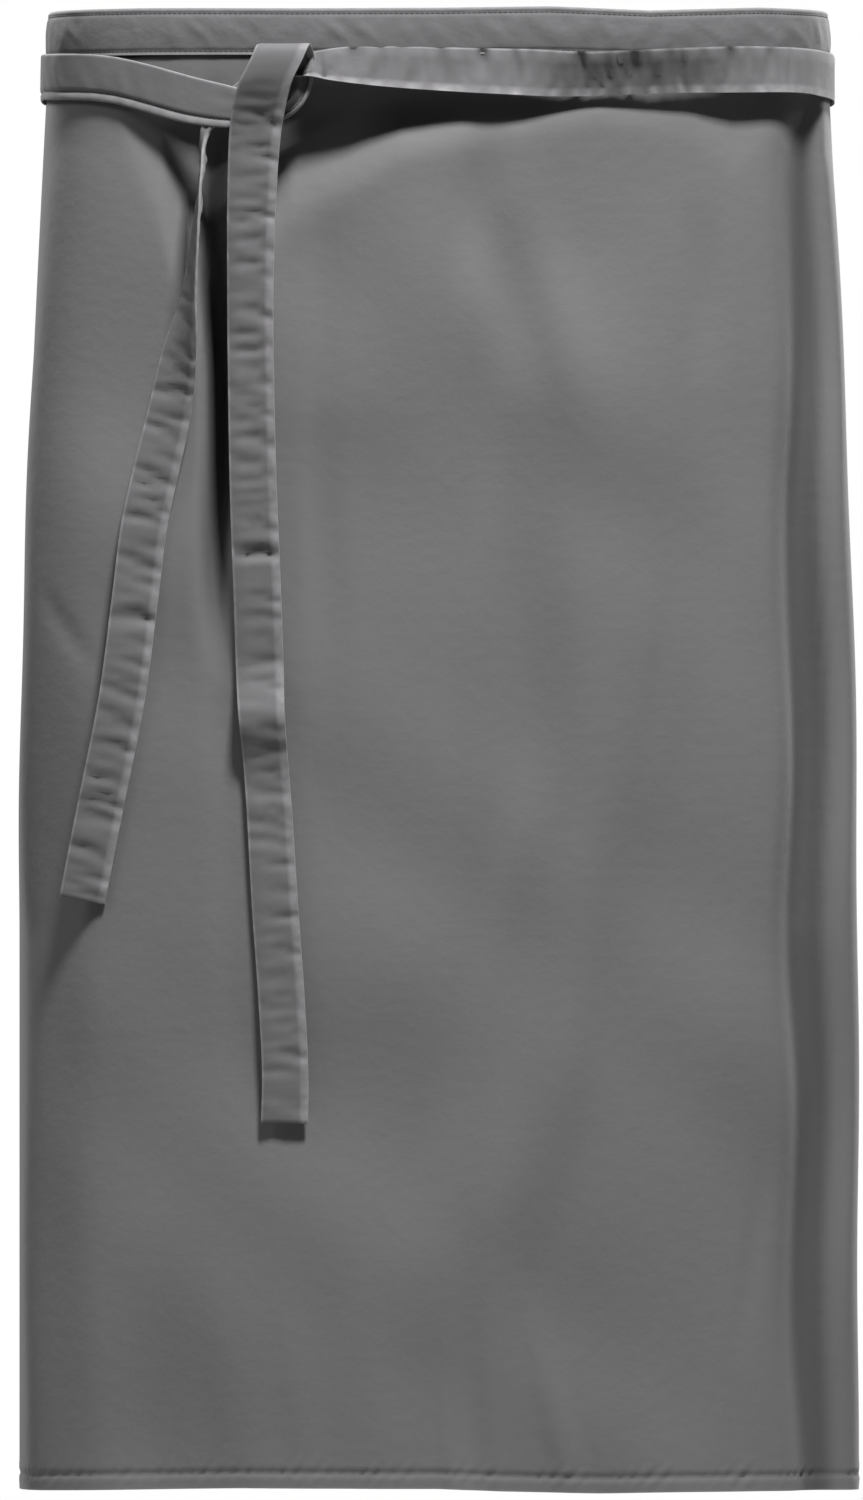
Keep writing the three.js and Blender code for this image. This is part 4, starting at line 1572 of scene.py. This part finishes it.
    def build(self) -> bpy.types.Object:
        """Builds the strip.

        Returns:
            The finished piece.
        """
        frames = self.frames()
        across, height = self.ring()
        points = self.surface(frames, across, height)
        stations, around = points.shape[:2]
        piece = Workshop.grid(f"{self.name}_cloth", stations - 1, around - 1)
        u, v = Workshop.shares(piece)
        station = np.round(u * (stations - 1)).astype(int)
        place = np.round(v * (around - 1)).astype(int)
        loop = run_along(np.stack([across * self.width / 2, height * self.wall / 2], axis=1))
        cloth_uv = np.stack([frames["run"][station], loop[place]], axis=1)
        Workshop.shape(piece, points[station, place], cloth_uv)
        # lighter between the seam and the edge and along the very edges: wear, partly a painted
        # highlight
        rim = smoothstep(*(self.seam + past for past in self.RIM_LIGHTENING), across)
        edge = np.maximum(self.rim_wear_and_highlight * rim, smoothstep(self.EDGE_LIGHTENING, 1.0, np.abs(across)))[place]
        Workshop.attribute(piece, "worn_and_highlit", edge)
        Workshop.close(piece)
        Workshop.finish(piece, self.finish.material(), Slot.TIE)
        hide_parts(self.name)
        LOG.info("%s is %.3f m long", self.name, frames["run"][-1])
        return piece

    def build_stitches(self) -> list[bpy.types.Object]:
        """Sews the row along one edge and the two rows across the free end.

        Returns:
            The finished rows.
        """
        frames = self.frames()
        path = self.surface(frames, np.array([self.seam]), np.array([1.0]))[:, 0]
        end = frames["run"][-1] - frames["run"]
        keep = end > self.hem_length
        name = f"{self.name}_edge_stitches"
        rows = [self.seams.row(name, path[keep], frames["thick"][keep], Slot.TIE)]
        across = np.linspace(-self.END_STITCH_REACH, self.END_STITCH_REACH, self.END_STITCH_POINTS)
        front = self.surface(frames, across, np.ones_like(across))
        for number, back in enumerate(self.end_stitches, start=1):
            station = int(np.argmin(np.abs(end - back)))
            out = np.repeat(frames["thick"][station:station + 1], len(across), 0)
            name = f"{self.name}_end_stitches_{number}"
            rows.append(self.seams.row(name, front[station], out, Slot.TIE))
        return rows


@dataclass(frozen=True)
class SoftLight:
    """A square soft light: direction from the object, side in metres and power in watts."""

    name: str
    direction: tuple[float, float, float]
    size: float
    power: float


@dataclass
class Studio:
    """Camera, lights, white surroundings and pale floor."""

    lights: tuple[SoftLight, ...] = (
        SoftLight("key", (0.19, -0.56, 1.15), 0.5, 81.0),
        SoftLight("left", (-0.95, -0.36, 1.05), 0.9, 11.0),
        SoftLight("back_left", (-0.7, 1.0, 0.60), 0.8, 34.0),
        SoftLight("back_right", (0.8, 1.0, 0.60), 0.8, 34.0),
    )
    light_distance: float = 3.2
    light_spread: float = math.radians(120)
    fill: float = 0.022
    centre: tuple[float, float, float] = (-0.0035, 0.0, -0.387)
    lens: float = 600.0
    sensor: float = 36.0
    clip: tuple[float, float] = (0.1, 100.0)
    frame_height: float = PHOTO_HEIGHT_PX / PX_PER_METRE
    front: float = -0.108
    floor_height: float = -1.10
    floor_half: float = 1.8
    floor_colour: tuple[float, float, float] = (0.37, 0.37, 0.365)
    floor_roughness: float = 0.8

    def camera(self) -> None:
        """Places the camera in front, as far away as the photograph's faint perspective says."""
        data = bpy.data.cameras.new("camera")
        data.lens = self.lens
        data.sensor_width = self.sensor
        data.clip_start, data.clip_end = self.clip
        camera = bpy.data.objects.new("camera", data)
        bpy.context.scene.collection.objects.link(camera)
        distance = self.lens / self.sensor * self.frame_height
        camera.location = (self.centre[0], self.front - distance, self.centre[2])
        camera.rotation_euler = (math.pi / 2, 0.0, 0.0)
        bpy.context.scene.camera = camera

    def light(self, soft: SoftLight) -> None:
        """Adds a soft light that faces the object's middle.

        Args:
            soft: The light's direction, size and power.
        """
        data = bpy.data.lights.new(soft.name, "AREA")
        data.shape = "SQUARE"
        data.size = soft.size
        data.energy = soft.power
        data.spread = self.light_spread
        lamp = bpy.data.objects.new(soft.name, data)
        bpy.context.scene.collection.objects.link(lamp)
        way = Vector(soft.direction).normalized()
        lamp.location = Vector(self.centre) + way * self.light_distance
        lamp.rotation_euler = way.to_track_quat("Z", "Y").to_euler()

    def world(self) -> None:
        """White to the camera, and a weak even fill to the object."""
        world = bpy.data.worlds.new("studio")
        bpy.context.scene.world = world
        world.use_nodes = True
        tree = world.node_tree
        tree.nodes.clear()
        output = tree.nodes.new("ShaderNodeOutputWorld")
        seen = tree.nodes.new("ShaderNodeBackground")
        seen.inputs["Color"].default_value = (1.0, 1.0, 1.0, 1.0)
        lit = tree.nodes.new("ShaderNodeBackground")
        lit.inputs["Color"].default_value = (self.fill, self.fill, self.fill, 1.0)
        path = tree.nodes.new("ShaderNodeLightPath")
        mix = tree.nodes.new("ShaderNodeMixShader")
        tree.links.new(path.outputs["Is Camera Ray"], mix.inputs["Fac"])
        tree.links.new(lit.outputs["Background"], mix.inputs[1])
        tree.links.new(seen.outputs["Background"], mix.inputs[2])
        tree.links.new(mix.outputs["Shader"], output.inputs["Surface"])

    def floor(self) -> None:
        """A plain pale floor under the held-up apron."""
        bpy.ops.object.select_all(action="DESELECT")
        bpy.ops.mesh.primitive_plane_add(size=2 * self.floor_half, location=(0, 0, self.floor_height))
        floor = bpy.context.active_object
        floor.name = "floor"
        material = bpy.data.materials.new("pale_floor")
        material.use_nodes = True
        shader = material.node_tree.nodes["Principled BSDF"]
        shader.inputs["Base Color"].default_value = (*self.floor_colour, 1.0)
        shader.inputs["Roughness"].default_value = self.floor_roughness
        floor.data.materials.append(material)

    def build(self) -> None:
        """Sets up the whole studio."""
        bpy.context.scene.view_settings.view_transform = "Standard"
        self.camera()
        for soft in self.lights:
            self.light(soft)
        self.world()
        self.floor()


# Painted shade darkens the panel in its narrow folds; every finish is lighter at its edges from wear,
# and the ties' rims also carry a painted highlight
PANEL_FINISH = TwillFinish("skirt_twill_cloth", (0.150, 0.147, 0.150), worn_and_highlit=0.25, painted_fold_shade=0.46)
BAND_FINISH = TwillFinish("band_twill_cloth", (0.132, 0.129, 0.133), worn_and_highlit=0.4, crumple_height=0.5 * MM)
LONG_END_FINISH = TwillFinish("long_tie_twill_cloth", BAND_FINISH.colour, worn_and_highlit=0.75)
SHORT_END_FINISH = replace(LONG_END_FINISH, name="short_tie_twill_cloth")


def build_apron(form: WornForm) -> list[bpy.types.Object]:
    """Builds and dresses every piece in order.

    Args:
        form: The form that the cloth hangs on.

    Returns:
        The finished pieces.
    """
    cloth = Cloth(form, HEM_HEIGHT)
    panel = SkirtPanel(cloth, PANEL_FINISH)
    seams = Seams(ThreadFinish().material())
    band = Waistband(cloth, BAND_FINISH, seams)
    long_end = Tie(
        "tie_long_end", cloth, LONG_END_FINISH, seams, Side.RIGHT,
        round_waist=LONG_END_ROUND_WAIST, knot=LONG_END_KNOT, hang=LONG_END_HANG,
        end_length=0.565, wrinkles=LONG_END_WRINKLES,
    )
    short_end = Tie(
        "tie_short_end", cloth, SHORT_END_FINISH, seams, Side.LEFT,
        round_waist=SHORT_END_ROUND_WAIST, knot=SHORT_END_KNOT, hang=SHORT_END_HANG,
        end_length=0.445, wrinkles=SHORT_END_WRINKLES,
    )
    pieces = [panel.build(), panel.build_bottom_hem()]
    pieces += [panel.build_side_hem(side) for side in Side]
    pieces += [band.build(), *band.build_stitches()]
    for tie in (long_end, short_end):
        pieces += [tie.build(), *tie.build_stitches()]
    return pieces


def main() -> None:
    """Builds the apron and its studio."""
    logging.basicConfig(level=logging.INFO, format="%(message)s")
    Studio().build()
    form = WornForm()
    pieces = build_apron(form)
    for piece in pieces:
        LOG.info("%s: %d faces", piece.name, len(piece.data.polygons))


if __name__ == "__main__":
    main()
